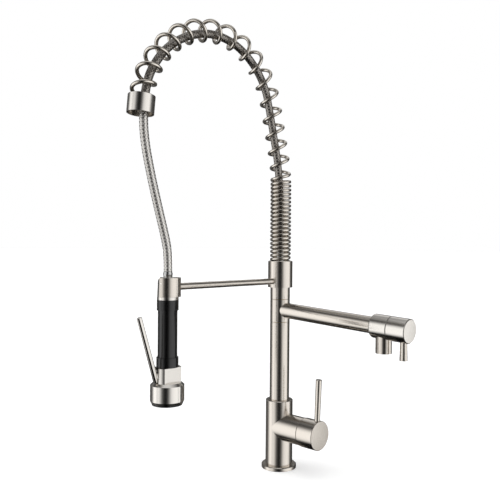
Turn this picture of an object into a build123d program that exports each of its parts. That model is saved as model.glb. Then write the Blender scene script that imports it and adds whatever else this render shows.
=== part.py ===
from build123d import *
import math
import os

# Spring kitchen faucet, in millimetres.
# The origin is on the column's axis at the deck. +Z is up.
# The arch, the dock arm and the sprayer lie towards -Y, the handle and the spout towards +X.

# Clearances
snug = 0.05  # between pieces of one body that fit into each other
running = 0.05  # radial, between a turning piece and its bearing
seat_gap = 0.3  # axial, between bodies that turn on each other
slide_gap = 0.3  # sideways, between loose neighbours

# Deck flange and gasket
flange_d = 51.0
flange_h = 5.5
flange_chamfer = 1.0
gasket_outer_d = 46.0
gasket_inner_d = 36.0
gasket_t = 2.0

# Valve body
body_d = 39.6
body_top_z = 100.0
body_edge = 0.8
spigot_d = 31.6
handle_z = 60.5
housing_end_x = 48.3
chamber_d = 35.6
chamber_floor_x = 8.0
inlet_pitch = 16.0
inlet_thread_d = 9.0
inlet_depth = 18.0
passage_d = 6.0
outlet_rise = 9.5
outlet_d = 7.0
stud_x = -11.0
stud_thread_d = 6.8
stud_depth = 20.0

# Mixing cartridge, along the handle's axis
seal_t = 2.0
shell_wall = 3.25
shell_floor_t = 4.0
shell_shoulder_x = 40.0
shell_neck_x = 46.0
shell_neck_d = 23.0
shell_roof_t = 2.4
turret_neck_d = 19.2
turret_neck_x = 43.5
fixed_disc_t = 3.5
moving_disc_d = 19.6
moving_disc_t = 3.9
carrier_d = 11.0
carrier_h = 4.8
carrier_wall = 2.4
carrier_floor_t = 1.0
channel_depth = 2.0
cup_clearance = 0.7
pivot_x = 38.0
stem_pin_d = 3.0
stem_pin_l = 16.6
stem_d = 8.0
finger_d = 4.8
finger_reach = 12.0
ball_d = 5.6
tilt_deg = 20.0
nut_end_x = 46.5
nut_notch_w = 4.0
nut_notch_t = 2.0
dome_outer_r = 17.4
dome_t = 1.2
dome_mouth_d = 21.0

# Handle
cap_gap = 1.0
cap_end_x = 75.7
cap_d = 41.2
cap_wall = 1.2
cap_edge = 0.5
cap_hollow_x = 66.0
cap_boss_x = 56.0
cap_boss_d = 17.0
stem_square = 7.6
stem_square_l = 12.6
socket_depth = 2.5
socket_end_gap = 0.2
screw_x = 61.5
screw_d = 4.0
plug_d = 6.0
plug_t = 1.1
plug_sink = 0.1
handle_pin_x = 70.8
handle_pin_sink = 0.7
handle_pin_lean = 2.3
handle_pin_l = 58.9
handle_pin_base_d = 7.8
handle_pin_tip_d = 8.6
handle_pin_edge = 0.5
handle_pin_thread_d = 4.4
handle_pin_thread_l = 7.0

# Column
column_d = 28.8
column_bore_d = 17.0
column_spigot_d = 23.0
column_spigot_l = 12.0
hub_low_z = 214.8
hub_high_z = 247.7
hub_seam = 0.5
collar_low_z = 265.5
collar_seam = 0.2
core_d = 22.0
core_bore_d = 15.0
core_insert = 9.5
core_port_d = 10.0
hub_wall = 2.15
lower_bush_l = 5.0
upper_bush_l = 3.0
hub_seal_w = 2.0
hub_seal_rise = 10.0
hub_seal_groove = 1.1

# Spout, on an axis that slopes down towards +X
spout_z = 232.45
spout_slope = 3.1
spout_d = 22.2
spout_wall = 1.6
spout_port_d = 15.0
spout_end = 170.0
head_d = 31.6
head_start = 162.5
head_round = 3.0
head_end = 188.6
head_bevel = 0.4
head_seam = 0.5
head_bore_d = 19.0
end_cap_end = 215.5
end_cap_edge = 0.9
seat_disc_t = 2.5
seat_port_d = 5.2
seat_port_y = 5.0
spindle_disc_t = 2.0
spindle_d = 7.0
spindle_tail = 8.5
valve_nut_t = 4.2
aerator_x = 177.3
aerator_d = 20.8
aerator_wall = 2.2
aerator_low_z = 189.2
aerator_top_z = 212.0
aerator_recess = 1.2
aerator_insert_h = 7.5
aerator_port_d = 7.0
valve_pin_x = 206.3
valve_pin_low_z = 183.2
valve_pin_top_d = 8.8
valve_pin_low_d = 10.0
valve_pin_thread_d = 5.0
valve_pin_thread_l = 5.0

# Dock collar, riser and arm
collar_d = 36.0
collar_high_z = 304.4
collar_edge = 0.8
collar_bore_d = 26.1
collar_pocket_d = 30.0
collar_bore_l = 17.5
bush_wall = 1.45
bush_l = 4.2
riser_bore_d = 9.0
riser_head_l = 8.0
riser_head_rise = 1.5
riser_step_d = 19.6
nipple_d = 12.0
nipple_l = 8.0
circlip_t = 1.2
circlip_depth = 0.9
circlip_overlap = 0.55
circlip_gap_deg = 30.0
arm_z = 274.5
arm_d = 8.8
arm_spigot_d = 6.0
arm_spigot_l = 4.0
sprayer_reach = 212.0
dock_ring_outer_d = 32.2
dock_ring_inner_d = 26.8
dock_ring_low_z = 262.8
dock_ring_high_z = 286.3
mouth_centre_deg = 230.0
mouth_deg = 102.0
slot_z = 279.3
slot_w = 1.5
slot_l = 3.5

# Spring, its seat and its end cap
wire_d = 5.0
wire_sides = 6
wire_turn = 35.0
coil_mean_d = 26.0
coil_play = 0.3
tight_pitch = 5.85
tight_top_z = 421.0
open_pitch = 22.0
pitch_swell = 6.4
pitch_ramp = 12.0
spring_seat_rise = 12.0
spring_seat_t = 2.0
spring_seat_inner_d = 20.6
end_ring_d = 33.0
end_ring_wall = 0.9
end_ring_h = 22.0
end_ring_shelf = 9.0
end_ring_shelf_t = 2.0
end_ring_shelf_d = 22.4

# The arch's centreline, as its height on the column and then arcs and straights
lean_z = 410.0
lean_deg = 14.6
lean_r = 207.0
rise_l = 69.7
crown_r = 105.8
shoulder_deg = 62.3
shoulder_r = 130.9
fall_r = 103.7
drop_deg = 174.5
drop_l = 17.8

# Hose
hose_d = 10.8
hose_nut_d = 19.2
hose_nut_l = 9.7
lower_ferrule_d = 13.8
lower_ferrule_l = 14.0
hose_straight_l = 32.0
ferrule_low_z = 287.3
ferrule_high_z = 293.7
ferrule_d = 12.0
ferrule_end_d = 10.8

# Sprayer, on its own upright axis
neck_top_z = 287.0
neck_top_d = 11.0
dome_foot_z = 282.0
neck_cone_top_d = 24.8
neck_cone_low_d = 26.2
neck_flange_d = 26.6
neck_flange_z = 262.4
neck_low_z = 258.8
neck_stem_d = 7.8
stem_head_d = 12.6
stem_head_low_z = 262.0
stem_head_high_z = 269.0
grip_core_d = 17.0
grip_core_bore_d = 10.0
band_top_d = 26.9
band_top_low_z = 246.0
grip_d = 24.2
grip_low_z = 187.8
band_low_d = 27.3
block_d = 34.6
block_flats = 22.6
block_top_z = 175.5
block_low_z = 156.8
block_bore_d = 7.0
bell_top_d = 35.6
bell_d = 42.4
bell_shoulder_z = 153.6
bell_waist_z = 134.2
bell_low_d = 39.2
bell_low_z = 131.0
bell_roof_t = 6.0
face_d = 37.8
face_low_z = 129.0
face_t = 4.0
face_rim_w = 2.0
face_dish = 0.8
plate_z = 138.0
plate_t = 2.0
plate_hole_d = 3.0
plate_hole_pcd = 22.0
plate_holes = 6

# Squeeze lever, its pivot and plunger, as offsets from the sprayer's axis
pivot_offset = 14.5
pivot_z = 166.0
lever_pin_d = 3.2
lever_pin_cover = 0.5
lever_pin_stand = 1.5
clevis_w = 7.6
lever_eye_d = 8.4
lever_slant = 17.85
lever_stand = 4.76
lever_depth = 6.0
lever_low_w = 5.0
lever_top_w = 3.6
lever_low = -6.0
lever_high = 79.0
plunger_rise = 6.5
plunger_d = 3.0
plunger_tip_gap = 0.11
plunger_in = 4.5
plunger_stroke = 1.74

# Sizes that follow
spigot_r = spigot_d / 2
body_r = body_d / 2
column_r = column_d / 2
chamber_r = chamber_d / 2
shell_r = chamber_r - snug - 0.25
cavity_r = shell_r - shell_wall
shell_low_x = chamber_floor_x + seal_t
disc_low_x = shell_low_x + shell_floor_t
disc_high_x = disc_low_x + fixed_disc_t
carrier_low_x = disc_high_x + running
carrier_plate_x = carrier_low_x + moving_disc_t
carrier_top_x = carrier_plate_x + carrier_h
disc_stroke = finger_reach * math.sin(math.radians(tilt_deg))
cap_start_x = housing_end_x + cap_gap
cap_r = cap_d / 2
core_r = core_d / 2
hub_bore_r = column_r - hub_wall
core_low_z = hub_low_z - hub_seam - core_insert
core_high_z = hub_high_z + hub_seam + core_insert
head_r = head_d / 2
head_bore_r = head_bore_d / 2
collar_r = collar_d / 2
collar_bore_r = collar_bore_d / 2
riser_r = collar_bore_r - running - bush_wall - snug
collar_land_z = collar_low_z + collar_bore_l
circlip_z = collar_land_z + seat_gap
riser_step_z = circlip_z + circlip_t + riser_head_rise
riser_top_z = riser_step_z + riser_head_l
spring_seat_z = collar_land_z + spring_seat_rise
block_r = block_d / 2
pin_side = math.sqrt(block_r**2 - (pivot_offset + lever_pin_d / 2) ** 2)
pin_near = pin_side - lever_pin_cover
pin_far = pin_side + lever_pin_stand
wire_r = wire_d / 2
coil_r = coil_mean_d / 2
coil_pocket_r = coil_r + wire_r + coil_play
spring_start_z = spring_seat_z + spring_seat_t + wire_r + coil_play
end_cap_start = head_end + head_seam
spindle_low = spout_end + 0.1 + seat_disc_t + running
nut_low_z = riser_top_z + seat_gap
hose_low_z = nut_low_z + hose_nut_l + lower_ferrule_l

UP = (Align.CENTER, Align.CENTER, Align.MIN)
HANDLE = Plane(origin=(0, 0, handle_z), x_dir=(0, 1, 0), z_dir=(1, 0, 0))
SLOPE = math.radians(spout_slope)
SPOUT = Plane(origin=(0, 0, spout_z), x_dir=(0, 1, 0), z_dir=(math.cos(SLOPE), 0, -math.sin(SLOPE)))
ARM = Plane(origin=(0, 0, arm_z), x_dir=(1, 0, 0), z_dir=(0, -1, 0))
SPRAYER = Pos(0, -sprayer_reach, 0)
AERATOR = Pos(aerator_x, 0, 0)
VALVE_PIN = Pos(valve_pin_x, 0, 0)


def disc(radius, low, high):
    """Cylinder on Z between two heights."""
    return Pos(0, 0, low) * Cylinder(radius, high - low, align=UP)


def ring(outer, inner, low, high):
    """Tube on Z between two heights."""
    return disc(outer, low, high) - disc(inner, low, high)


def lathe(corners):
    """Solid turned about Z from (radius, height) corners."""
    return revolve(Plane.XZ * make_face(Polyline(corners, close=True)), Axis.Z)


def block(x, y, z):
    """Box between the limits of three pairs."""
    size = (x[1] - x[0], y[1] - y[0], z[1] - z[0])
    return Pos((x[0] + x[1]) / 2, (y[0] + y[1]) / 2, (z[0] + z[1]) / 2) * Box(*size)


# Base and valve body


def deck_flange():
    """Round foot with a chamfered rim and a groove for the gasket."""
    rim = flange_d / 2
    foot = lathe(
        [
            (spigot_r + snug, 0),
            (rim, 0),
            (rim, flange_h - flange_chamfer),
            (rim - flange_chamfer, flange_h),
            (spigot_r + snug, flange_h),
        ]
    )
    return foot - ring(gasket_outer_d / 2, gasket_inner_d / 2, 0, gasket_t)


def base_gasket():
    """Flat rubber ring, flush with the flange's underside."""
    return ring(gasket_outer_d / 2 - snug, gasket_inner_d / 2 + snug, 0, gasket_t)


def cartridge_ports(low, high):
    """Two inlet ports and one outlet port, along the handle's axis."""
    holes = Pos(0, outlet_rise, 0) * disc(outlet_d / 2, low, high)
    for side in (-1, 1):
        holes += Pos(side * inlet_pitch / 2, 0, 0) * disc(passage_d / 2, low, high)
    return HANDLE * holes


def valve_body():
    """Upright barrel, the housing across it, and the waterways in both."""
    barrel = lathe(
        [
            (0, flange_h),
            (body_r, flange_h),
            (body_r, body_top_z - body_edge),
            (body_r - body_edge, body_top_z),
            (0, body_top_z),
        ]
    )
    housing = HANDLE * lathe(
        [
            (0, 0),
            (body_r, 0),
            (body_r, housing_end_x - body_edge),
            (body_r - body_edge, housing_end_x),
            (0, housing_end_x),
        ]
    )
    solid = barrel + housing + disc(spigot_r, 0, flange_h)
    solid -= HANDLE * disc(chamber_r, chamber_floor_x, housing_end_x)
    solid -= disc(column_spigot_d / 2 + snug, body_top_z - column_spigot_l, body_top_z)
    solid -= disc(outlet_d / 2, handle_z + outlet_rise, body_top_z)
    solid -= cartridge_ports(0, chamber_floor_x)
    for side in (-1, 1):
        inlet = Pos(0, side * inlet_pitch / 2, 0)
        solid -= inlet * disc(inlet_thread_d / 2, 0, inlet_depth)
        solid -= inlet * disc(passage_d / 2, inlet_depth, handle_z)
    return solid - Pos(stud_x, 0, 0) * disc(stud_thread_d / 2, 0, stud_depth)


# Mixing cartridge


def cartridge_seal():
    """Rubber seal under the cartridge, with its ports."""
    return HANDLE * disc(shell_r, chamber_floor_x, shell_low_x) - cartridge_ports(
        chamber_floor_x, shell_low_x
    )


def cartridge_shell():
    """Cartridge case: ported floor, disc cavity and guide neck."""
    neck_r = shell_neck_d / 2
    case = disc(shell_r, shell_low_x, shell_shoulder_x)
    case += disc(neck_r, shell_shoulder_x, shell_neck_x)
    case -= disc(cavity_r, disc_low_x, shell_shoulder_x - shell_roof_t)
    case -= disc(turret_neck_d / 2 + running, disc_low_x, shell_neck_x)
    return HANDLE * case - cartridge_ports(shell_low_x, disc_low_x)


def ceramic_disc_fixed():
    """Ported ceramic disc that stays still."""
    plate = HANDLE * disc(cavity_r - snug, disc_low_x, disc_high_x)
    return plate - cartridge_ports(disc_low_x, disc_high_x)


def moving_disc():
    """Sliding ceramic disc with the cup that the stem's ball drives."""
    plate = disc(moving_disc_d / 2, carrier_low_x, carrier_plate_x)
    plate += disc(carrier_d / 2, carrier_plate_x, carrier_top_x)
    plate -= disc(carrier_d / 2 - carrier_wall, carrier_plate_x + carrier_floor_t, carrier_top_x)
    channel_end = carrier_low_x + channel_depth
    channel = Pos(0, -passage_d / 2, 0) * disc(passage_d / 2, carrier_low_x, channel_end)
    return HANDLE * (plate - channel)


def turret():
    """Turning block that guides the cup and carries the stem's pivot."""
    low = carrier_plate_x + 2 * running
    roof = shell_shoulder_x - shell_roof_t - running
    solid = disc(cavity_r - running, low, roof)
    solid += disc(turret_neck_d / 2, roof, turret_neck_x)
    cup = carrier_d / 2 + slide_gap / 2
    cup_top = carrier_top_x + cup_clearance
    solid -= block((-cup, cup), (-cup, cup + disc_stroke), (low, cup_top))
    side = stem_d / 2 + slide_gap
    tilt = math.sin(math.radians(tilt_deg))
    below = side + (turret_neck_x - pivot_x) * tilt + slide_gap
    above = ball_d / 2 + finger_reach * tilt + slide_gap
    solid -= block((-side, side), (-below, above), (cup_top, turret_neck_x))
    pin = Pos(0, 0, pivot_x) * Rot(0, 90, 0) * Cylinder(stem_pin_d / 2 + snug / 2, stem_pin_l)
    return HANDLE * (solid - pin)


def stem_pin():
    """Cross pin on which the stem tilts."""
    return HANDLE * Pos(0, 0, pivot_x) * Rot(0, 90, 0) * Cylinder(stem_pin_d / 2, stem_pin_l)


def cartridge_nut():
    """Ring nut that clamps the cartridge, with two spanner notches."""
    outer = chamber_r - snug
    solid = ring(outer, shell_neck_d / 2 + snug, shell_shoulder_x + snug, nut_end_x)
    notch = block(
        (-nut_notch_w / 2, nut_notch_w / 2),
        (-outer - 1, outer + 1),
        (nut_end_x - nut_notch_t, nut_end_x),
    )
    return HANDLE * (solid - notch)


def trim_dome():
    """Part of a sphere about the stem's pivot, seated on the nut."""
    low = nut_end_x + snug - pivot_x
    shell = Sphere(dome_outer_r) - Sphere(dome_outer_r - dome_t)
    shell &= disc(dome_outer_r + 1, low, dome_outer_r + 1)
    shell -= disc(dome_mouth_d / 2, low, dome_outer_r + 1)
    return HANDLE * Pos(0, 0, pivot_x) * shell


# Handle


def handle_stem():
    """Stem with a driving ball inside and a square end in the handle."""
    square_x = cap_hollow_x + socket_depth - socket_end_gap - stem_square_l
    half = stem_square / 2
    solid = disc(stem_d / 2, pivot_x - stem_d / 4, square_x)
    solid += block((-half, half), (-half, half), (square_x, square_x + stem_square_l))
    solid += disc(finger_d / 2, pivot_x - finger_reach, pivot_x)
    solid += Pos(0, 0, pivot_x - finger_reach) * Sphere(ball_d / 2)
    hole = Pos(0, 0, pivot_x) * Rot(0, 90, 0) * Cylinder(stem_pin_d / 2 + running, stem_d + 2)
    return HANDLE * (solid - hole)


def pin_plane():
    """Frame at the foot of the handle's pin, leaning outwards."""
    lean = math.radians(handle_pin_lean)
    foot_z = handle_z + cap_r - handle_pin_sink
    return Plane(origin=(handle_pin_x, 0, foot_z), z_dir=(math.sin(lean), 0, math.cos(lean)))


def handle_cap():
    """Round handle, hollow over the trim dome, with a socket for the stem."""
    hollow_r = cap_r - cap_wall
    solid = lathe(
        [
            (hollow_r, cap_start_x),
            (cap_r, cap_start_x),
            (cap_r, cap_end_x - cap_edge),
            (cap_r - cap_edge, cap_end_x),
            (0, cap_end_x),
            (0, cap_boss_x),
            (cap_boss_d / 2, cap_boss_x),
            (cap_boss_d / 2, cap_hollow_x),
            (hollow_r, cap_hollow_x),
        ]
    )
    half = stem_square / 2 + snug
    solid -= block((-half, half), (-half, half), (cap_boss_x, cap_hollow_x + socket_depth))
    solid = HANDLE * solid
    screw = Pos(screw_x, 0, handle_z)
    solid -= screw * disc(screw_d / 2 + snug, 0, cap_boss_d / 2 + 1)
    solid -= screw * disc(plug_d / 2 + snug, hollow_r - 1, cap_r + 1)
    pin = pin_plane()
    solid -= pin * disc(handle_pin_base_d / 2 + snug, 0, handle_pin_base_d)
    return solid - pin * disc(handle_pin_thread_d / 2 + snug, -handle_pin_thread_l - snug, 0)


def handle_pin():
    """Upright lever pin, a little wider at its tip."""
    tip = handle_pin_tip_d / 2
    root = handle_pin_thread_d / 2
    return pin_plane() * lathe(
        [
            (0, -handle_pin_thread_l),
            (root, -handle_pin_thread_l),
            (root, 0),
            (handle_pin_base_d / 2, 0),
            (tip, handle_pin_l - handle_pin_edge),
            (tip - handle_pin_edge, handle_pin_l),
            (0, handle_pin_l),
        ]
    )


def set_screw():
    """Grub screw that holds the handle on the stem's square."""
    return Pos(screw_x, 0, handle_z) * disc(screw_d / 2, stem_square / 2 + snug, cap_boss_d / 2 - 0.4)


def index_plug():
    """Round plug over the grub screw's hole."""
    top = cap_r - plug_sink
    return Pos(screw_x, 0, handle_z) * disc(plug_d / 2, top - plug_t, top)


# Column


def column_lower():
    """Column between the body and the spout's hub."""
    foot_z = body_top_z - column_spigot_l
    top_z = hub_low_z - hub_seam
    solid = disc(column_r, body_top_z, top_z) + disc(column_spigot_d / 2, foot_z, body_top_z)
    solid -= disc(column_bore_d / 2, foot_z, core_low_z)
    return solid - disc(core_r + snug, core_low_z, top_z)


def hub_seal_heights():
    """Lower faces of the two seals beside the spout's port."""
    return [spout_z + side * hub_seal_rise - hub_seal_w / 2 for side in (-1, 1)]


def swivel_core():
    """Ported tube that joins the column's halves and carries the spout's hub."""
    solid = ring(core_r, core_bore_d / 2, core_low_z, core_high_z)
    for low in hub_seal_heights():
        solid -= ring(core_r + 1, core_r - hub_seal_groove, low, low + hub_seal_w)
    return solid - Pos(0, 0, spout_z) * Rot(0, 90, 0) * Cylinder(core_port_d / 2, 3 * core_r)


def hub_seals():
    """Two seal rings between the core and the hub."""
    inner = core_r - hub_seal_groove + snug
    rings = []
    for low in hub_seal_heights():
        rings.append(ring(hub_bore_r - running, inner, low + snug, low + hub_seal_w - snug))
    return Compound(rings)


def hub_bush_lower():
    """Bearing ring at the hub's lower end."""
    low = hub_low_z + 2 * snug
    return ring(hub_bore_r - running, core_r + snug, low, low + lower_bush_l)


def hub_bush_upper():
    """Bearing ring at the hub's upper end."""
    high = hub_high_z - 2 * snug
    return ring(hub_bore_r - running, core_r + snug, high - upper_bush_l, high)


def column_upper():
    """Column between the spout's hub and the dock collar."""
    return ring(column_r, core_r + snug, hub_high_z + hub_seam, collar_low_z - collar_seam)


def riser():
    """Hollow spindle on which the dock collar turns, with the hose nipple on top."""
    base_z = collar_low_z - collar_seam
    solid = disc(core_r, core_high_z + snug, base_z)
    solid += disc(riser_r, base_z, riser_step_z)
    solid += disc(riser_step_d / 2, riser_step_z, riser_top_z)
    solid += disc(nipple_d / 2, riser_top_z, riser_top_z + nipple_l)
    groove_z = circlip_z - snug
    solid -= ring(riser_r + 1, riser_r - circlip_depth, groove_z, circlip_z + circlip_t + snug)
    return solid - disc(riser_bore_d / 2, core_high_z, riser_top_z + nipple_l)


def collar_bushes():
    """Two bearing rings between the riser and the dock collar."""
    outer = collar_bore_r - running
    lower = collar_low_z + seat_gap
    upper = collar_land_z - seat_gap - bush_l
    return Compound([ring(outer, riser_r + snug, low, low + bush_l) for low in (lower, upper)])


def collar_circlip():
    """Open clip in the riser's groove that keeps the collar down."""
    outer = collar_bore_r + circlip_overlap
    clip = ring(outer, riser_r - circlip_depth + snug, circlip_z, circlip_z + circlip_t)
    half = outer * math.tan(math.radians(circlip_gap_deg / 2))
    return clip - block((-half, half), (0, outer + 1), (circlip_z, circlip_z + circlip_t))


# Dock


def dock_collar():
    """Collar round the riser, open at the top for the spring's foot."""
    bore = collar_bore_r
    pocket = collar_pocket_d / 2
    solid = lathe(
        [
            (bore, collar_low_z),
            (collar_r, collar_low_z),
            (collar_r, collar_high_z - collar_edge),
            (collar_r - collar_edge, collar_high_z),
            (coil_pocket_r, collar_high_z),
            (coil_pocket_r, spring_seat_z),
            (pocket, spring_seat_z),
            (pocket, collar_land_z),
            (bore, collar_land_z),
        ]
    )
    return solid - ARM * disc(arm_spigot_d / 2 + snug, bore - 1, collar_r + 1)


def dock_arm():
    """Round arm from the collar to the dock ring, coped to both."""
    start = collar_r - arm_spigot_l
    rod = ARM * disc(arm_d / 2, start, sprayer_reach - dock_ring_inner_d / 2)
    low, high = collar_low_z, collar_high_z
    rod -= disc(collar_r, low, high)
    rod -= SPRAYER * disc(dock_ring_outer_d / 2, low, high)
    return rod + ARM * disc(arm_spigot_d / 2, start, collar_r)


def mouth_sector(angle, low, high):
    """Wedge about the ring's axis, centred on its mouth."""
    half = math.radians(angle / 2)
    far = dock_ring_outer_d
    side = (far * math.cos(half), far * math.sin(half))
    corners = [(0, 0), (side[0], -side[1]), (far, -side[1]), (far, side[1]), side]
    wedge = extrude(make_face(Polyline(corners, close=True)), high - low)
    return Rot(0, 0, mouth_centre_deg) * Pos(0, 0, low) * wedge


def dock_ring():
    """Ring for the sprayer's neck, open at one side, with a saw cut at each lip."""
    outer = dock_ring_outer_d / 2
    inner = dock_ring_inner_d / 2
    solid = ring(outer, inner, dock_ring_low_z, dock_ring_high_z)
    solid -= mouth_sector(mouth_deg, dock_ring_low_z, dock_ring_high_z)
    cut_deg = mouth_deg + 2 * math.degrees(slot_l / outer)
    solid -= mouth_sector(cut_deg, slot_z - slot_w / 2, slot_z + slot_w / 2)
    return SPRAYER * solid


def spring_seat_ring():
    """Ring in the collar that the spring stands on."""
    return ring(coil_pocket_r - snug, spring_seat_inner_d / 2, spring_seat_z, spring_seat_z + spring_seat_t)


# Arch and spring


def arch_steps():
    """The arch above the column as (turn in degrees, radius or length) steps."""
    return [
        (lean_deg, lean_r),
        (0, rise_l),
        (90 - lean_deg, crown_r),
        (shoulder_deg, shoulder_r),
        (drop_deg - 90 - shoulder_deg, fall_r),
        (0, drop_l),
    ]


def arch_length():
    """Length of the centreline above the height at which it starts to lean."""
    return sum(math.radians(turn) * size if turn else size for turn, size in arch_steps())


def arch_at(length):
    """Reach, height and heading from upright, at a length past the start of the lean."""
    reach, height, heading = 0.0, lean_z, 0.0
    if length < 0:
        return reach, height + length, heading
    for turn, size in arch_steps():
        step = min(length, math.radians(turn) * size if turn else size)
        if turn:
            end = heading + step / size
            reach += size * (math.cos(heading) - math.cos(end))
            height += size * (math.sin(end) - math.sin(heading))
            heading = end
        else:
            reach += step * math.sin(heading)
            height += step * math.cos(heading)
        length -= step
        if length <= 0:
            break
    return reach, height, heading


def end_plane():
    """Frame at the foot of the spring's end cap, looking back up the arch."""
    reach, height, heading = arch_at(arch_length())
    back = (0, math.sin(heading), -math.cos(heading))
    return Plane(origin=(0, -reach, height), x_dir=(1, 0, 0), z_dir=back)


def coil_pitch(length):
    """Advance of one turn at a length from the top of the close turns."""
    if length <= 0:
        return tight_pitch
    ramp = min(1.0, length / pitch_ramp)
    swell = math.sin(math.pi * min(1.0, length / arch_length())) ** 2
    return tight_pitch + (open_pitch - tight_pitch) * ramp + pitch_swell * swell


def coil_stations():
    """Length along the centreline at each quarter turn of the coil."""
    start = spring_start_z - lean_z
    close_end = tight_top_z - lean_z
    shelf = end_ring_shelf + end_ring_shelf_t + wire_r + coil_play
    stop = arch_length() - shelf
    steps = 64
    stations = [start]
    length = start
    while True:
        for _ in range(steps):
            length += coil_pitch(length - close_end) / (4 * steps)
        if length > stop:
            break
        stations.append(length)
    if len(stations) % 2 == 0:
        stations.pop()
    return stations


def coil_point(length, turn):
    """Point of the wire's centre at a length and a number of turns."""
    reach, height, heading = arch_at(length)
    angle = 2 * math.pi * turn
    outward = Vector(0, math.cos(heading), math.sin(heading))
    sideways = Vector(1, 0, 0)
    centre = Vector(0, -reach, height)
    return centre - sideways * (coil_r * math.cos(angle)) - outward * (coil_r * math.sin(angle))


def coil_path():
    """The wire's centre as tangent arcs, two to each half turn."""
    stations = coil_stations()
    knots = []
    for index in range(0, len(stations), 2):
        length = stations[index]
        nudge = 0.001
        here = coil_point(length, index / 4)
        pitch = coil_pitch(length - (tight_top_z - lean_z))
        ahead = coil_point(length + nudge * pitch, index / 4 + nudge)
        behind = coil_point(length - nudge * pitch, index / 4 - nudge)
        knots.append((here, (ahead - behind).normalized()))
    arcs = []
    for (start, leave), (end, arrive) in zip(knots, knots[1:]):
        chord = end - start
        both = leave + arrive
        spread = 2 * (1 - leave.dot(arrive))
        along = chord.dot(both)
        arm = (math.sqrt(along**2 + spread * chord.dot(chord)) - along) / spread
        first = start + leave * arm
        second = end - arrive * arm
        middle = (first + second) * 0.5
        arcs.append(Edge.make_tangent_arc(start, leave, middle))
        arcs.append(Edge.make_tangent_arc(middle, (second - first).normalized(), end))
    return arcs


def coil_self_gap(arcs):
    """Least gap between neighbouring turns, measured on points of the wire's centre."""
    points = [arc @ (step / 8) for arc in arcs for step in range(8)]
    least = 1e9
    for index, point in enumerate(points):
        for other in points[index + 20 : index + 48]:
            least = min(least, (point - other).length)
    return least - wire_d


def spring():
    """Coil of one unbroken wire: close turns on the column, open turns over the arch."""
    arcs = coil_path()
    print("spring: turns", (len(arcs)) / 4, "least gap to itself", round(coil_self_gap(arcs), 2))
    print("spring: least radius", round(min(arc.radius for arc in arcs), 2))
    section = Plane(origin=arcs[0] @ 0, z_dir=arcs[0] % 0)
    wire = RegularPolygon(wire_r, wire_sides, rotation=wire_turn)
    return sweep(section * wire, Wire(arcs))


def spring_end_cap():
    """Open cap on the spring's last turns, with a shelf inside for the wire's end."""
    outer = end_ring_d / 2
    inner = outer - end_ring_wall
    solid = ring(outer, inner, 0, end_ring_h)
    solid = chamfer(solid.edges().group_by(Axis.Z)[-1].sort_by(SortBy.RADIUS)[-1], end_ring_wall / 2)
    shelf = ring(inner, end_ring_shelf_d / 2, end_ring_shelf, end_ring_shelf + end_ring_shelf_t)
    return end_plane() * (solid + shelf)


# Hose

# The hose's centreline as (reach, height) points, inside the coil and then hanging free.
ARCH_ROUTE = [
    (0.0, hose_low_z),
    (0.0, hose_low_z + hose_straight_l),
    (0.4, 385.0),
    (6.0, 442.5),
    (15.5, 480.0),
    (25.5, 518.5),
    (36.0, 554.0),
    (62.0, 583.5),
    (97.8, 602.4),
    (139.3, 606.1),
    (180.0, 594.5),
    (214.5, 572.0),
    (236.5, 544.5),
    (247.5, 519.5),
    (249.5, 499.6),
]
DROP_ROUTE = [
    (251.5, 479.7),
    (248.5, 449.0),
    (239.5, 412.0),
    (227.5, 371.0),
    (217.2, 338.0),
    (sprayer_reach, 316.0),
    (sprayer_reach, ferrule_high_z),
]


def hose(route, name):
    """Hose along a route of straight runs and tangent arcs."""
    points = [Vector(0, -reach, height) for reach, height in route]
    radii = []
    for before, here, after in zip(points, points[1:], points[2:]):
        run_in = here - before
        run_out = after - here
        half = math.radians(run_in.get_angle(run_out)) / 2
        radii.append(0.45 * min(run_in.length, run_out.length) / math.tan(half))
    print(name, "radii", [round(radius) for radius in radii])
    path = FilletPolyline(*points, radius=radii)
    section = Plane(origin=points[0], z_dir=points[1] - points[0])
    solid = sweep(section * Circle(hose_d / 2), path)
    share = solid.volume / (math.pi * hose_d**2 / 4 * path.length)
    print(name, "length", round(path.length, 1), "volume over section times length", round(share, 5))
    return solid


def hose_arch():
    """Hose inside the coil, from the lower ferrule to the end cap."""
    return hose(ARCH_ROUTE, "hose_arch")


def hose_drop():
    """Free hose from inside the end cap down to the sprayer."""
    return hose([ARCH_ROUTE[-1]] + DROP_ROUTE, "hose_drop")


def hose_nut_lower():
    """Nut that holds the hose on the riser's nipple and turns with the arch."""
    top = nut_low_z + hose_nut_l
    solid = disc(hose_nut_d / 2, nut_low_z, top)
    return solid - disc(nipple_d / 2 + running, nut_low_z, riser_top_z + nipple_l + seat_gap)


def hose_ferrule_lower():
    """Crimped sleeve at the hose's lower end."""
    low = nut_low_z + hose_nut_l
    return disc(lower_ferrule_d / 2, low, low + lower_ferrule_l)


def hose_ferrule():
    """Crimped sleeve at the hose's sprayer end."""
    middle = (ferrule_low_z + ferrule_high_z) / 2
    return SPRAYER * lathe(
        [
            (0, ferrule_low_z),
            (ferrule_end_d / 2, ferrule_low_z),
            (ferrule_d / 2, middle),
            (ferrule_end_d / 2, ferrule_high_z),
            (0, ferrule_high_z),
        ]
    )


def swivel_stem():
    """Headed stem on which the sprayer turns."""
    stem = disc(neck_stem_d / 2, stem_head_high_z, ferrule_low_z)
    return SPRAYER * (stem + disc(stem_head_d / 2, stem_head_low_z, stem_head_high_z))


# Sprayer


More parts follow.
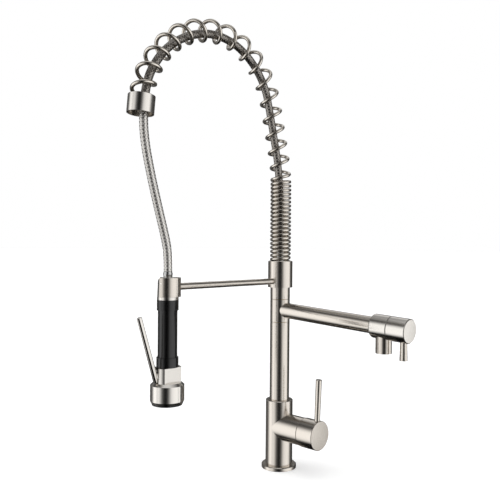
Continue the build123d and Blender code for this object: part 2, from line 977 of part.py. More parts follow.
def sprayer_neck():
    """Domed neck with a cone for the dock ring and a flange under it."""
    top_r = neck_top_d / 2
    cone_r = neck_cone_top_d / 2
    flange_r = neck_flange_d / 2
    crown = ThreePointArc(
        (top_r, neck_top_z),
        (
            top_r + (cone_r - top_r) * 0.62,
            neck_top_z - (neck_top_z - dome_foot_z) * 0.22,
        ),
        (cone_r, dome_foot_z),
    )
    rest = Polyline(
        (cone_r, dome_foot_z),
        (neck_cone_low_d / 2, neck_flange_z),
        (flange_r, neck_flange_z),
        (flange_r, neck_low_z),
        (0, neck_low_z),
        (0, neck_top_z),
        (top_r, neck_top_z),
    )
    solid = revolve(Plane.XZ * make_face([*crown.edges(), *rest.edges()]), Axis.Z)
    solid -= disc(neck_stem_d / 2 + running, neck_low_z, neck_top_z)
    head_room = stem_head_d / 2 + slide_gap
    return SPRAYER * (solid - disc(head_room, neck_low_z, stem_head_high_z + seat_gap))


def sleeve(diameter, low, high):
    """Ring round the grip's core."""
    return SPRAYER * ring(diameter / 2, grip_core_d / 2 + snug, low, high)


def grip_core():
    """Water tube through the grip."""
    return SPRAYER * ring(grip_core_d / 2, grip_core_bore_d / 2, block_top_z, neck_low_z)


def grip_band_top():
    """Band above the grip."""
    return sleeve(band_top_d, band_top_low_z, neck_low_z)


def grip_sleeve():
    """Plain grip."""
    return sleeve(grip_d, grip_low_z, band_top_low_z)


def grip_band_bottom():
    """Band below the grip."""
    return sleeve(band_low_d, block_top_z, grip_low_z)


def plunger_tip_offset():
    """Offset of the plunger's tip, just clear of the lever's inner face."""
    slant = math.radians(lever_slant)
    inner = lever_stand - lever_depth / 2
    face = pivot_offset + inner / math.cos(slant) + plunger_rise * math.tan(slant)
    nose = plunger_d / 2
    return face - (nose + plunger_tip_gap) / math.cos(slant) + nose


def plunger_axis(radius, near, far):
    """Cylinder along the plunger, between two offsets."""
    height = pivot_z + plunger_rise
    return Pos(0, 0, height) * Rot(90, 0, 0) * disc(radius, near, far)


def pin_axis(radius, far, near):
    """Cylinder along the lever's pin, between its open side and its blind side."""
    turned = Rot(0, 90, 0) * disc(radius, -far, near)
    return Pos(0, -pivot_offset, pivot_z) * turned


def sprayer_body():
    """Flatted collar block with the lever's clevis and the plunger's bore."""
    half = block_flats / 2
    solid = disc(block_r, block_low_z, block_top_z)
    solid &= block((-half, half), (-block_r, block_r), (block_low_z, block_top_z))
    slot = clevis_w / 2
    slot_in = pivot_offset - lever_eye_d / 2 - 0.5
    solid -= block((-slot, slot), (-block_r - 1, -slot_in), (block_low_z, block_top_z))
    solid -= disc(block_bore_d / 2, block_low_z, block_top_z)
    solid -= pin_axis(lever_pin_d / 2 + snug, block_r, pin_near + seat_gap)
    deep = plunger_in - plunger_stroke - slide_gap
    return SPRAYER * (solid - plunger_axis(plunger_d / 2 + running, deep, block_r))


def lever_pin():
    """Pin through the clevis, pressed in from one side and blind at the other."""
    return SPRAYER * pin_axis(lever_pin_d / 2, pin_far, pin_near)


def spray_lever():
    """Slanted bar with an eye on the clevis pin, tapering towards its top."""
    lean = math.radians(lever_slant)
    bar_plane = Plane(
        origin=(0, -sprayer_reach - pivot_offset, pivot_z),
        x_dir=(1, 0, 0),
        z_dir=(0, -math.sin(lean), math.cos(lean)),
    )
    low = Pos(0, -lever_stand, lever_low) * Rectangle(lever_low_w, lever_depth)
    high = Pos(0, -lever_stand, lever_high) * Rectangle(lever_top_w, lever_depth)
    eye_w = clevis_w - 2 * slide_gap
    eye = Rot(0, 90, 0) * Cylinder(lever_eye_d / 2, eye_w)
    hole = Rot(0, 90, 0) * Cylinder(lever_pin_d / 2 + running, eye_w + 2)
    return bar_plane * (loft([low, high]) + eye - hole)


def valve_plunger():
    """Round-nosed plunger that the lever pushes in."""
    nose = plunger_d / 2
    centre = plunger_tip_offset() - nose
    solid = plunger_axis(nose, plunger_in, centre)
    ball = Pos(0, -centre, pivot_z + plunger_rise) * Sphere(nose)
    return SPRAYER * (solid + ball)


def bell():
    """Spray head shell with a sloping shoulder and a chamfered lower rim."""
    bore = face_d / 2 + snug
    roof_z = block_low_z - bell_roof_t
    return SPRAYER * lathe(
        [
            (block_bore_d / 2, block_low_z),
            (bell_top_d / 2, block_low_z),
            (bell_d / 2, bell_shoulder_z),
            (bell_d / 2, bell_waist_z),
            (bell_low_d / 2, bell_low_z),
            (bore, bell_low_z),
            (bore, roof_z),
            (block_bore_d / 2, roof_z),
        ]
    )


def flow_plate():
    """Plate with a circle of holes above the spray face."""
    solid = disc(face_d / 2, plate_z, plate_z + plate_t)
    holes = [
        Rot(0, 0, 360 * index / plate_holes) * Pos(plate_hole_pcd / 2, 0, 0)
        for index in range(plate_holes)
    ]
    for place in holes:
        solid -= place * disc(plate_hole_d / 2, plate_z, plate_z + plate_t)
    return SPRAYER * solid


def spray_face():
    """Dished face with a raised rim."""
    rim = face_d / 2
    return SPRAYER * lathe(
        [
            (0, face_low_z + face_dish),
            (rim - face_rim_w, face_low_z + face_dish),
            (rim - face_rim_w / 2, face_low_z),
            (rim, face_low_z),
            (rim, face_low_z + face_t),
            (0, face_low_z + face_t),
        ]
    )


# Spout


def spout_hub():
    """Turning part of the column, with the spout's port."""
    solid = ring(column_r, hub_bore_r, hub_low_z, hub_high_z)
    return solid - SPOUT * disc(spout_port_d / 2, 0, column_r + 2)


def spout_tube():
    """Straight sloping tube, coped to the hub."""
    tube = SPOUT * ring(spout_d / 2, spout_d / 2 - spout_wall, 0, spout_end)
    return tube - disc(column_r, hub_low_z, hub_high_z)


def spout_head():
    """Thicker end of the spout, with a rounded back edge and the aerator's bore."""
    tube_r = spout_d / 2 + snug
    back = Polyline((tube_r, spout_end), (tube_r, head_start), (head_r - head_round, head_start))
    corner = RadiusArc(
        (head_r - head_round, head_start), (head_r, head_start + head_round), -head_round
    )
    front = Polyline(
        (head_r, head_start + head_round),
        (head_r, head_end - head_bevel),
        (head_r - head_bevel, head_end),
        (head_bore_r, head_end),
        (head_bore_r, spout_end),
        (tube_r, spout_end),
    )
    face = make_face([*back.edges(), *corner.edges(), *front.edges()])
    solid = SPOUT * revolve(Plane.XZ * face, Axis.Z)
    bore_r = aerator_d / 2 + snug
    solid -= AERATOR * disc(bore_r, aerator_low_z, aerator_top_z + snug)
    return solid - AERATOR * disc(aerator_port_d / 2, aerator_top_z, spout_z - head_bore_r)


def aerator_housing():
    """Tube under the head that holds the aerator."""
    outer = aerator_d / 2
    return AERATOR * ring(outer, outer - aerator_wall, aerator_low_z, aerator_top_z)


def aerator_insert():
    """Aerator in its housing, a little recessed."""
    low = aerator_low_z + aerator_recess
    radius = aerator_d / 2 - aerator_wall - snug
    return AERATOR * disc(radius, low, low + aerator_insert_h)


def valve_seat_disc():
    """Ported ceramic disc at the end of the spout's tube."""
    low = spout_end + 0.1
    solid = disc(head_bore_r - snug, low, low + seat_disc_t)
    return SPOUT * (solid - Pos(0, seat_port_y, 0) * disc(seat_port_d / 2, low, low + seat_disc_t))


def valve_spindle():
    """Turning disc and the spindle that joins it to the end cap."""
    disc_end = spindle_low + spindle_disc_t
    solid = disc(head_bore_r - running, spindle_low, disc_end)
    solid -= Pos(0, seat_port_y, 0) * disc(seat_port_d / 2, spindle_low, disc_end)
    return SPOUT * (solid + disc(spindle_d / 2, disc_end, end_cap_start + spindle_tail))


def valve_nut():
    """Ring that keeps the spindle in the head."""
    high = head_end - 0.2
    inner = spindle_d / 2 + running
    return SPOUT * ring(head_bore_r - snug, inner, high - valve_nut_t, high)


def end_cap_stock():
    """Outline of the turning end cap, without its holes."""
    return SPOUT * lathe(
        [
            (0, end_cap_start),
            (head_r - head_bevel, end_cap_start),
            (head_r, end_cap_start + head_bevel),
            (head_r, end_cap_end - end_cap_edge),
            (head_r - end_cap_edge, end_cap_end),
            (0, end_cap_end),
        ]
    )


def valve_pin_foot_z():
    """Height at which the pin's thread starts, under the end cap."""
    return spout_z - valve_pin_x * math.tan(SLOPE) - head_r


def spout_end_cap():
    """Turning end of the spout, with sockets for the spindle and the pin."""
    solid = end_cap_stock()
    tail = end_cap_start + spindle_tail + snug
    solid -= SPOUT * disc(spindle_d / 2 + snug, end_cap_start, tail)
    foot_z = valve_pin_foot_z()
    thread_r = valve_pin_thread_d / 2 + snug
    return solid - VALVE_PIN * disc(thread_r, foot_z - 1, foot_z + valve_pin_thread_l + snug)


def valve_pin():
    """Pin under the end cap, a little wider at its foot."""
    foot_z = valve_pin_foot_z()
    top_z = foot_z + valve_pin_top_d / 4
    stock = VALVE_PIN * lathe(
        [
            (0, valve_pin_low_z),
            (valve_pin_low_d / 2, valve_pin_low_z),
            (valve_pin_top_d / 2, foot_z),
            (valve_pin_top_d / 2, top_z),
            (0, top_z),
        ]
    )
    thread = VALVE_PIN * disc(valve_pin_thread_d / 2, foot_z - 1, foot_z + valve_pin_thread_l)
    return stock - end_cap_stock() + thread


PIECES = [
    deck_flange,
    base_gasket,
    valve_body,
    cartridge_seal,
    cartridge_shell,
    ceramic_disc_fixed,
    moving_disc,
    turret,
    stem_pin,
    cartridge_nut,
    trim_dome,
    handle_stem,
    handle_cap,
    handle_pin,
    set_screw,
    index_plug,
    column_lower,
    swivel_core,
    hub_seals,
    hub_bush_lower,
    hub_bush_upper,
    column_upper,
    riser,
    collar_bushes,
    collar_circlip,
    dock_collar,
    dock_arm,
    dock_ring,
    spring_seat_ring,
    spring,
    spring_end_cap,
    hose_arch,
    hose_drop,
    hose_nut_lower,
    hose_ferrule_lower,
    hose_ferrule,
    swivel_stem,
    sprayer_neck,
    grip_core,
    grip_band_top,
    grip_sleeve,
    grip_band_bottom,
    sprayer_body,
    lever_pin,
    spray_lever,
    valve_plunger,
    bell,
    flow_plate,
    spray_face,
    spout_hub,
    spout_tube,
    spout_head,
    aerator_housing,
    aerator_insert,
    valve_seat_disc,
    valve_spindle,
    valve_nut,
    spout_end_cap,
    valve_pin,
]

os.makedirs("parts", exist_ok=True)
for piece in PIECES:
    export_step(piece(), f"parts/{piece.__name__}.step")
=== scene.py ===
"""Spring kitchen faucet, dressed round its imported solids.

Meshes are in metres in the part's own frame, and a class with sizes in millimetres says so. The
column stands on the origin, the arch and the sprayer lie towards -Y, and the handle and the spout
point towards +X.
"""

import logging
import math
from dataclasses import dataclass
from enum import Enum
from typing import Callable

import bpy
import numpy as np
from mathutils import Matrix, Vector


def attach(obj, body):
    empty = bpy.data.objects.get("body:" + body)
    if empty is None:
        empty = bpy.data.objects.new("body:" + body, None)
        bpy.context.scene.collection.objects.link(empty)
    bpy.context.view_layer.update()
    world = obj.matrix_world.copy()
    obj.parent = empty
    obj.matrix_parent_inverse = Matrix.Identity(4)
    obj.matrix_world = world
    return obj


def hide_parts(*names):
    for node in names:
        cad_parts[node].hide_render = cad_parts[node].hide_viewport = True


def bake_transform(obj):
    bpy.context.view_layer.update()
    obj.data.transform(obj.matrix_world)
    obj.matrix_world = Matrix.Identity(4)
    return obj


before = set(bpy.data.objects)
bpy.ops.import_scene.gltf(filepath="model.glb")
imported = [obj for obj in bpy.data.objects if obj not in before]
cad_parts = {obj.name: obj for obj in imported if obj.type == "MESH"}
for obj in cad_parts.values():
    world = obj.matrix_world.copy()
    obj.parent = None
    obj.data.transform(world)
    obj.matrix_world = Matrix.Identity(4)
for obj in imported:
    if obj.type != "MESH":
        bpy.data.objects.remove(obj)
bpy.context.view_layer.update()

MM = 0.001
X_AXIS = np.array([1.0, 0.0, 0.0])
Array = np.ndarray
Pair = tuple[float, float]
Place = tuple[float, float, float]
Tree = bpy.types.NodeTree
Node = bpy.types.Node
Socket = bpy.types.NodeSocket
Object = bpy.types.Object
Material = bpy.types.Material

log = logging.getLogger("faucet")


def placed(name: str, data: bpy.types.ID) -> Object:
    """Makes an object of its data and links it into the scene.

    Args:
        name: The object's name.
        data: Its mesh, curve, camera or light.

    Returns:
        The object.
    """
    item = bpy.data.objects.new(name, data)
    bpy.context.scene.collection.objects.link(item)
    return item


# Colour and node helpers


def linear(code: str) -> tuple[float, ...]:
    """Turns an sRGB hex colour to linear values.

    Args:
        code: Six hex digits.

    Returns:
        Linear red, green and blue, and an alpha of 1.
    """
    parts = [int(code[at : at + 2], 16) / 255 for at in (0, 2, 4)]
    parts = [p / 12.92 if p <= 0.04045 else ((p + 0.055) / 1.055) ** 2.4 for p in parts]
    return (*parts, 1.0)


def fill(tree: Tree, node: Node, values: dict, links: dict) -> None:
    """Sets a node's constant inputs and links its other ones.

    Args:
        tree: The node tree.
        node: The node.
        values: Constants by input name or number.
        links: Output sockets by input name or number.
    """
    for name, value in values.items():
        node.inputs[name].default_value = value
    for name, socket in links.items():
        tree.links.new(socket, node.inputs[name])


def add(
    tree: Tree,
    kind: str,
    values: dict | None = None,
    links: dict | None = None,
    stops: tuple[Pair, ...] = (),
    **settings: object,
) -> Node:
    """Adds one node with its settings, its constant inputs and its links.

    Args:
        tree: The node tree.
        kind: The node's type without the leading ShaderNode.
        values: Constants by input name or number.
        links: Output sockets by input name or number.
        stops: Position and grey level pairs of a colour ramp, straight between them.
        settings: The node's own properties.

    Returns:
        The new node.
    """
    node = tree.nodes.new("ShaderNode" + kind)
    for name, value in settings.items():
        setattr(node, name, value)
    fill(tree, node, values or {}, links or {})
    for _ in stops[2:]:
        node.color_ramp.elements.new(0.5)
    for index, (position, _) in enumerate(stops):
        node.color_ramp.elements[index].position = position
    for index, (_, level) in enumerate(stops):
        node.color_ramp.elements[index].color = (level, level, level, 1.0)
    return node


def plain_view(tree: Tree) -> Socket:
    """Tells the rays that see the plain background from those that light the object.

    Args:
        tree: The node tree.

    Returns:
        A socket that is 1 for camera and transmission rays, and 0 for the others.
    """
    path = add(tree, "LightPath").outputs
    rays = {0: path["Is Camera Ray"], 1: path["Is Transmission Ray"]}
    return add(tree, "Math", links=rays, operation="MAXIMUM").outputs[0]


def shades(code: str, low: float, high: float) -> dict[int, list[float]]:
    """Two shades of a hex colour, at these shares of it, for a Mix node's inputs 6 and 7."""
    base = linear(code)[:3]
    return {6: [c * low for c in base] + [1.0], 7: [c * high for c in base] + [1.0]}


def new_material(name: str) -> tuple[Material, Tree, Node]:
    """Makes a material with a bare shader.

    Args:
        name: The material's name.

    Returns:
        The material, its tree and its Principled shader, which is linked to the output.
    """
    material = bpy.data.materials.new(name)
    material.use_nodes = True
    tree = material.node_tree
    tree.nodes.clear()
    shader = add(tree, "BsdfPrincipled")
    add(tree, "OutputMaterial", links={"Surface": shader.outputs[0]})
    return material, tree, shader


# Finishes


class Lay(Enum):
    """Axis that a turned piece's polishing lines run round."""

    UPRIGHT = (0.0, 0.0, 1.0)
    HANDLE = (1.0, 0.0, 0.0)
    ARM = (0.0, 1.0, 0.0)
    NONE = (0.0, 0.0, 0.0)


@dataclass(frozen=True)
class BrushedMetal:
    """Metal polished with a fine belt while it turns, so short lines run round its axis."""

    name: str
    colour: str
    roughness: float
    line_mm: float = 0.16
    stretch: float = 50.0
    depth_mm: float = 0.0005
    edge_mm: float = 0.22
    wipe_scale: float = 45.0
    wipe_share: float = 0.35

    def material(self, lay: Lay) -> Material:
        """Builds the metal with its lines round one axis.

        The lines are noise squeezed along the axis. They lift the roughness and a shallow bump,
        and a broad noise shifts the sheen as wiped metal has it. Edges catch light by a small
        rounding of the normal.

        Args:
            lay: The axis that the lines run round.

        Returns:
            The material.
        """
        material, tree, shader = new_material(f"{self.name}_{lay.name.lower()}")
        place = add(tree, "TexCoord").outputs["Object"]
        fine = 1 / (self.line_mm * MM)
        along = [fine if share else fine / self.stretch for share in lay.value]
        if lay is Lay.NONE:
            along = [fine / 2] * 3
        squeezed = add(tree, "Mapping", {"Scale": along}, {"Vector": place}).outputs[0]
        noise = {"Scale": 1.0, "Detail": 3.0, "Roughness": 0.6}
        lines = add(tree, "TexNoise", noise, {"Vector": squeezed}).outputs["Fac"]
        noise = {"Scale": self.wipe_scale, "Detail": 2.0}
        broad = add(tree, "TexNoise", noise, {"Vector": place}).outputs["Fac"]
        wipe, both = {1: self.wipe_share}, {0: broad, 2: lines}
        mixed = add(tree, "Math", wipe, both, operation="MULTIPLY_ADD").outputs[0]
        low, high = self.roughness * 0.9, self.roughness * 1.12
        sheen = {"From Min": 0.4, "From Max": 0.95, "To Min": low, "To Max": high}
        rough = add(tree, "MapRange", sheen, {"Value": mixed}).outputs[0]
        colours = shades(self.colour, 0.985, 1.015)
        tint = add(tree, "Mix", colours, {0: lines}, data_type="RGBA").outputs[2]
        soft = add(tree, "Bevel", {"Radius": self.edge_mm * MM}, samples=4).outputs[0]
        relief = {"Strength": 0.5, "Distance": self.depth_mm * MM}
        bump = add(tree, "Bump", relief, {"Height": lines, "Normal": soft}).outputs[0]
        dress = {"Base Color": tint, "Roughness": rough, "Normal": bump}
        fill(tree, shader, {"Metallic": 1.0}, dress)
        return material


@dataclass(frozen=True)
class MouldedBlack:
    """Black plastic or rubber with the fine grain of its mould."""

    name: str
    colour: str
    roughness: float
    ior: float
    grain_mm: float = 0.35
    grain_depth_mm: float = 0.012
    edge_mm: float = 0.3
    wipe_scale: float = 30.0

    def material(self) -> Material:
        """Builds the surface: grain lifts a low bump, and a broad noise breaks up the sheen.

        Returns:
            The material.
        """
        material, tree, shader = new_material(self.name)
        place = add(tree, "TexCoord").outputs["Object"]
        noise = {"Scale": 1 / (self.grain_mm * MM), "Detail": 2.0}
        grain = add(tree, "TexNoise", noise, {"Vector": place}).outputs["Fac"]
        noise = {"Scale": self.wipe_scale, "Detail": 3.0}
        broad = add(tree, "TexNoise", noise, {"Vector": place}).outputs["Fac"]
        sheen = {"To Min": self.roughness * 0.8, "To Max": self.roughness * 1.2}
        rough = add(tree, "MapRange", sheen, {"Value": broad}).outputs[0]
        colours = shades(self.colour, 0.8, 1.25)
        tint = add(tree, "Mix", colours, {0: broad}, data_type="RGBA").outputs[2]
        soft = add(tree, "Bevel", {"Radius": self.edge_mm * MM}, samples=4).outputs[0]
        relief = {"Strength": 0.6, "Distance": self.grain_depth_mm * MM}
        bump = add(tree, "Bump", relief, {"Height": grain, "Normal": soft}).outputs[0]
        dress = {"Base Color": tint, "Roughness": rough, "Normal": bump}
        fill(tree, shader, {"IOR": self.ior}, dress)
        return material


@dataclass(frozen=True)
class BraidedSteel:
    """Plaited stainless wires over rubber: bright crests, holes of rubber and painted shade."""

    name: str
    colour: str
    rubber_and_shade: str
    roughness: float
    # The real braid's holes are about 3 mm apart. Here they are 4.4 mm apart, so that they show.
    carriers: int = 7
    lead_mm: float = 31.0
    wires: int = 6
    wire_relief: float = 0.12
    depth_mm: float = 0.15
    # Share of the wire's colour, not the hole's rubber and painted shade, by the height of the
    # higher of the two bands.
    hole: tuple[Pair, ...] = ((0.0, 0.0), (0.4, 0.05), (0.75, 1.0))

    def material(self, length_mm: float) -> Material:
        """Builds the braid on the tube's own map.

        U runs once round the hose and V once along it. Two families of slanted bands cross. Each
        band is a bundle of wires, drawn as fine stripes. Where both bands are low, the larger of
        |sin p| and |sin q| is small, and the hole takes a dark colour: the rubber that shows there,
        with painted shade in the hollow under the wires.

        Args:
            length_mm: The hose's length, for the band's slope.

        Returns:
            The material.
        """
        material, tree, shader = new_material(self.name)
        uv = add(tree, "UVMap", uv_map="Wound").outputs[0]
        axes = add(tree, "SeparateXYZ", links={0: uv}).outputs
        counts = (float(self.carriers), length_mm * self.carriers / self.lead_mm)
        around, along = (
            add(tree, "Math", {1: count}, {0: axis}, operation="MULTIPLY").outputs[0]
            for count, axis in zip(counts, axes)
        )
        bands = []
        stripes = []
        for turn in ("ADD", "SUBTRACT"):
            phase = add(tree, "Math", links={0: around, 1: along}, operation=turn).outputs[0]
            half = add(tree, "Math", {1: math.pi}, {0: phase}, operation="MULTIPLY").outputs[0]
            wave = add(tree, "Math", links={0: half}, operation="SINE").outputs[0]
            bands.append(add(tree, "Math", links={0: wave}, operation="ABSOLUTE").outputs[0])
            count = {1: 2.0 * self.wires}
            fine = add(tree, "Math", count, {0: half}, operation="MULTIPLY").outputs[0]
            stripes.append(add(tree, "Math", links={0: fine}, operation="COSINE").outputs[0])
        crest, over, higher = (
            add(tree, "Math", links=dict(enumerate(bands)), operation=name).outputs[0]
            for name in ("MULTIPLY", "GREATER_THAN", "MAXIMUM")
        )
        upper = {0: over, 2: stripes[0], 3: stripes[1]}
        wire = add(tree, "Mix", links=upper, data_type="FLOAT").outputs[0]
        raised = {0: wire, 2: crest}
        relief = {1: self.wire_relief}
        height = add(tree, "Math", relief, raised, operation="MULTIPLY_ADD").outputs[0]
        shade = add(tree, "ValToRGB", links={0: higher}, stops=self.hole).outputs[0]
        # The holes' colour is the rubber's, with painted shade in the hollow under the wires.
        colours = {6: linear(self.rubber_and_shade), 7: linear(self.colour)}
        tint = add(tree, "Mix", colours, {0: shade}, data_type="RGBA").outputs[2]
        relief = {"Strength": 0.8, "Distance": self.depth_mm * MM}
        bump = add(tree, "Bump", relief, {"Height": height}).outputs[0]
        plain = {"Metallic": 1.0, "Roughness": self.roughness}
        fill(tree, shader, plain, {"Base Color": tint, "Normal": bump})
        return material


@dataclass(frozen=True)
class PlainSolid:
    """Hidden or half hidden piece of ground ceramic or natural plastic, with a faint mottle."""

    name: str
    colour: str
    roughness: float
    ior: float
    mottle_scale: float = 300.0
    depth_mm: float = 0.02

    def material(self) -> Material:
        """Builds the surface: a little colour and roughness change from a broad noise.

        Returns:
            The material.
        """
        material, tree, shader = new_material(self.name)
        place = add(tree, "TexCoord").outputs["Object"]
        noise = {"Scale": self.mottle_scale, "Detail": 3.0}
        mottle = add(tree, "TexNoise", noise, {"Vector": place}).outputs["Fac"]
        colours = shades(self.colour, 0.94, 1.0)
        tint = add(tree, "Mix", colours, {0: mottle}, data_type="RGBA").outputs[2]
        sheen = {"To Min": self.roughness * 0.85, "To Max": self.roughness * 1.15}
        rough = add(tree, "MapRange", sheen, {"Value": mottle}).outputs[0]
        relief = {"Strength": 0.3, "Distance": self.depth_mm * MM}
        bump = add(tree, "Bump", relief, {"Height": mottle}).outputs[0]
        dress = {"Base Color": tint, "Roughness": rough, "Normal": bump}
        fill(tree, shader, {"IOR": self.ior}, dress)
        return material


# Warm grey nickel plate, belt polished. It gives soft upright bands of light and dark.
SATIN_NICKEL = BrushedMetal("satin_nickel", "d6cfc6", 0.2)
# The same plate, polished finer. It gives a cleaner, whiter light on the faces.
SATIN_BRIGHT = BrushedMetal("satin_bright", "dedad4", 0.17)
# The plate on the squeeze lever, polished by hand. It gives a dark line between two bright ones.
LEVER_NICKEL = BrushedMetal("lever_nickel", "dedad4", 0.15)
# Nickel plated spring wire, drawn. It gives a narrow glint on every turn.
SPRING_STEEL = BrushedMetal("spring_steel", "dfd8ce", 0.2, line_mm=0.2)
# Bare stainless, machined. It gives a cooler, greyer metal in the openings.
STAINLESS = BrushedMetal("stainless", "c6c6c5", 0.25)
# Bare machined brass. It gives the yellow metal in the waterways.
BRASS = BrushedMetal("machined_brass", "cdab62", 0.28)
# Glass filled nylon, moulded. It gives the cartridge's dull white.
WHITE_PLASTIC = PlainSolid("white_nylon", "dcdad2", 0.45, 1.53)
# Sintered alumina, ground and lapped. It gives the discs' clean white sheen.
CERAMIC = PlainSolid("lapped_alumina", "ecebe6", 0.15, 1.76)
# EPDM rubber, moulded. It gives the seals' dead black.
SEAL_RUBBER = MouldedBlack("epdm_rubber", "161616", 0.6, 1.5)
# ABS, moulded with a satin skin. It gives the spray face's even black.
BLACK_PLASTIC = MouldedBlack("satin_abs", "0d0d0f", 0.25, 1.5)
# Soft rubber sleeve over the grip. It gives a broad soft sheen on black.
BLACK_RUBBER = MouldedBlack("grip_rubber", "090909", 0.2, 1.56)
# Stainless braid on a rubber hose. It gives a light hose with small dark holes, coloured as
# rubber with painted shade.
HOSE_BRAID = BraidedSteel("steel_braid", "e2dfda", "95928e", 0.36)
# The same braid inside the coil, darker in both colours: painted shade from the coil's turns.
# It gives a greyer hose.
ARCH_BRAID_PAINTED_SHADE = BraidedSteel("steel_braid_arch_painted_shade", "a29d97", "363433", 0.36)


# Meshes worked out as arrays


@dataclass
class Surface:
    """A mesh as arrays: points, four-sided faces with their map, and three-sided faces."""

    points: Array
    quads: Array
    quad_map: Array
    triangles: Array

    def join(self, other: "Surface") -> "Surface":
        """Returns this surface and another as one, with the other's numbers moved up."""
        shift = len(self.points)
        return Surface(
            np.vstack([self.points, other.points]),
            np.vstack([self.quads, other.quads + shift]),
            np.vstack([self.quad_map, other.quad_map]),
            np.vstack([self.triangles, other.triangles + shift]),
        )

    def object(self, name: str) -> Object:
        """Puts the surface into a smooth mesh object at the origin.

        Args:
            name: The object's name.

        Returns:
            The linked object, with its map named Wound.
        """
        mesh = bpy.data.meshes.new(name)
        faces = self.quads.tolist() + self.triangles.tolist()
        mesh.from_pydata(self.points.tolist(), [], faces)
        flat = np.zeros((len(mesh.loops), 2), np.float32)
        flat[: 4 * len(self.quads)] = self.quad_map.reshape(-1, 2)
        mesh.uv_layers.new(name="Wound").data.foreach_set("uv", flat.ravel())
        mesh.polygons.foreach_set("use_smooth", np.ones(len(mesh.polygons), bool))
        mesh.validate()
        mesh.update()
        return placed(name, mesh)


def wound_grid(points: Array, looped: bool = False) -> Surface:
    """Joins rings of points into a tube.

    Face (i, j) joins ring i to ring i + 1 between the points j and j + 1, and the last point of a
    ring to its first. Each end is closed by a fan to the ring's mean point, or the last ring joins
    the first.

    Args:
        points: Rings in order along the tube, by points, by 3.
        looped: Whether the last ring joins the first.

    Returns:
        The tube's surface, its map once round and once along.
    """
    rings, sides = points.shape[:2]
    rows = rings if looped else rings - 1
    row, column = np.meshgrid(np.arange(rows), np.arange(sides), indexing="ij")
    row, column = row.ravel(), column.ravel()
    after = (column + 1) % sides
    here, there = row * sides, (row + 1) % rings * sides
    quads = np.stack([here + column, here + after, there + after, there + column], axis=1)
    u = np.stack([column, column + 1, column + 1, column], axis=1) / sides
    v = np.stack([row, row, row + 1, row + 1], axis=1) / rows
    flat = points.reshape(-1, 3)
    triangles = np.zeros((0, 3), int)
    if not looped:
        ends = np.stack([points[0].mean(axis=0), points[-1].mean(axis=0)])
        number = np.arange(sides)
        step = (number + 1) % sides
        first, last = len(flat), len(flat) + 1
        base = (rings - 1) * sides
        low = np.stack([np.full(sides, first), step, number], axis=1)
        high = np.stack([np.full(sides, last), base + number, base + step], axis=1)
        flat = np.vstack([flat, ends])
        triangles = np.vstack([low, high])
    return Surface(flat, quads, np.stack([u, v], axis=2), triangles)


def lengths_along(points: Array) -> Array:
    """Length from a line's first point to each of its points."""
    steps = np.linalg.norm(np.diff(points, axis=0), axis=1)
    return np.concatenate([[0.0], np.cumsum(steps)])


def planar_tube(centres: Array, sides: int, radius: Callable[[Array, Array], Array]) -> Surface:
    """Tube along a line in the plane x = 0.

    Ring i stands on centre i. Its points are centre + radius * (X cos(angle) + N sin(angle)),
    where N is the line's normal in that plane, so the tube never twists.

    Args:
        centres: Points of the line, n by 3.
        sides: Points of each ring.
        radius: Gives the radius for arrays of the angle and of the length along the line.

    Returns:
        The tube's surface with closed ends.
    """
    heading = np.gradient(centres, axis=0)
    heading /= np.linalg.norm(heading, axis=1)[:, None]
    normal = np.cross(heading, X_AXIS)
    angle = np.linspace(0, 2 * np.pi, sides, endpoint=False)
    reach = radius(angle[None, :], lengths_along(centres)[:, None])
    turn = angle[None, :, None]
    ring = np.cos(turn) * X_AXIS + np.sin(turn) * normal[:, None]
    return wound_grid(centres[:, None, :] + reach[..., None] * ring)


def turned(profile: Array, sides: int, centre: Pair) -> Surface:
    """Solid of revolution about an upright line.

    A profile point (r, z) gives the ring centre + (r cos(angle), r sin(angle), z).

    Args:
        profile: Radius and height pairs, n by 2, in the order that runs up the outer wall.
        sides: Points of each ring.
        centre: The line's x and y.

    Returns:
        The surface with closed ends.
    """
    angle = np.linspace(0, 2 * np.pi, sides, endpoint=False)
    around = np.stack([np.cos(angle), np.sin(angle)], axis=1)
    rings = profile[:, None, 0:1] * around[None] + np.array(centre)
    heights = np.repeat(profile[:, None, 1:2], sides, axis=1)
    return wound_grid(np.concatenate([rings, heights], axis=2))


# Lines that the coil and the hoses follow


def spline_line(name: str, route: Array, step: float) -> Array:
    """Points of a smooth line along a route's control points.

    The route becomes one NURBS spline of order 3, clamped at both ends, and its own points are
    read back and spaced evenly.

    Args:
        name: Name of the passing curve.
        route: Control points, n by 3.
        step: Spacing of the points that come back.

    Returns:
        Points of the line, m by 3.
    """
    curve = bpy.data.curves.new(name, "CURVE")
    curve.dimensions = "3D"
    curve.resolution_u = 48
    spline = curve.splines.new("NURBS")
    spline.points.add(len(route) - 1)
    spline.points.foreach_set("co", np.hstack([route, np.ones((len(route), 1))]).ravel())
    spline.order_u = 3
    spline.use_endpoint_u = True
    item = placed(name, curve)
    bpy.context.view_layer.update()
    mesh = bpy.data.meshes.new_from_object(item)
    found = np.empty(3 * len(mesh.vertices))
    mesh.vertices.foreach_get("co", found)
    found = found.reshape(-1, 3)
    bpy.data.objects.remove(item)
    bpy.data.curves.remove(curve)
    bpy.data.meshes.remove(mesh)
    lengths = lengths_along(found)
    even = np.linspace(0, lengths[-1], max(2, round(lengths[-1] / step)))
    return np.stack([np.interp(even, lengths, found[:, axis]) for axis in range(3)], axis=1)


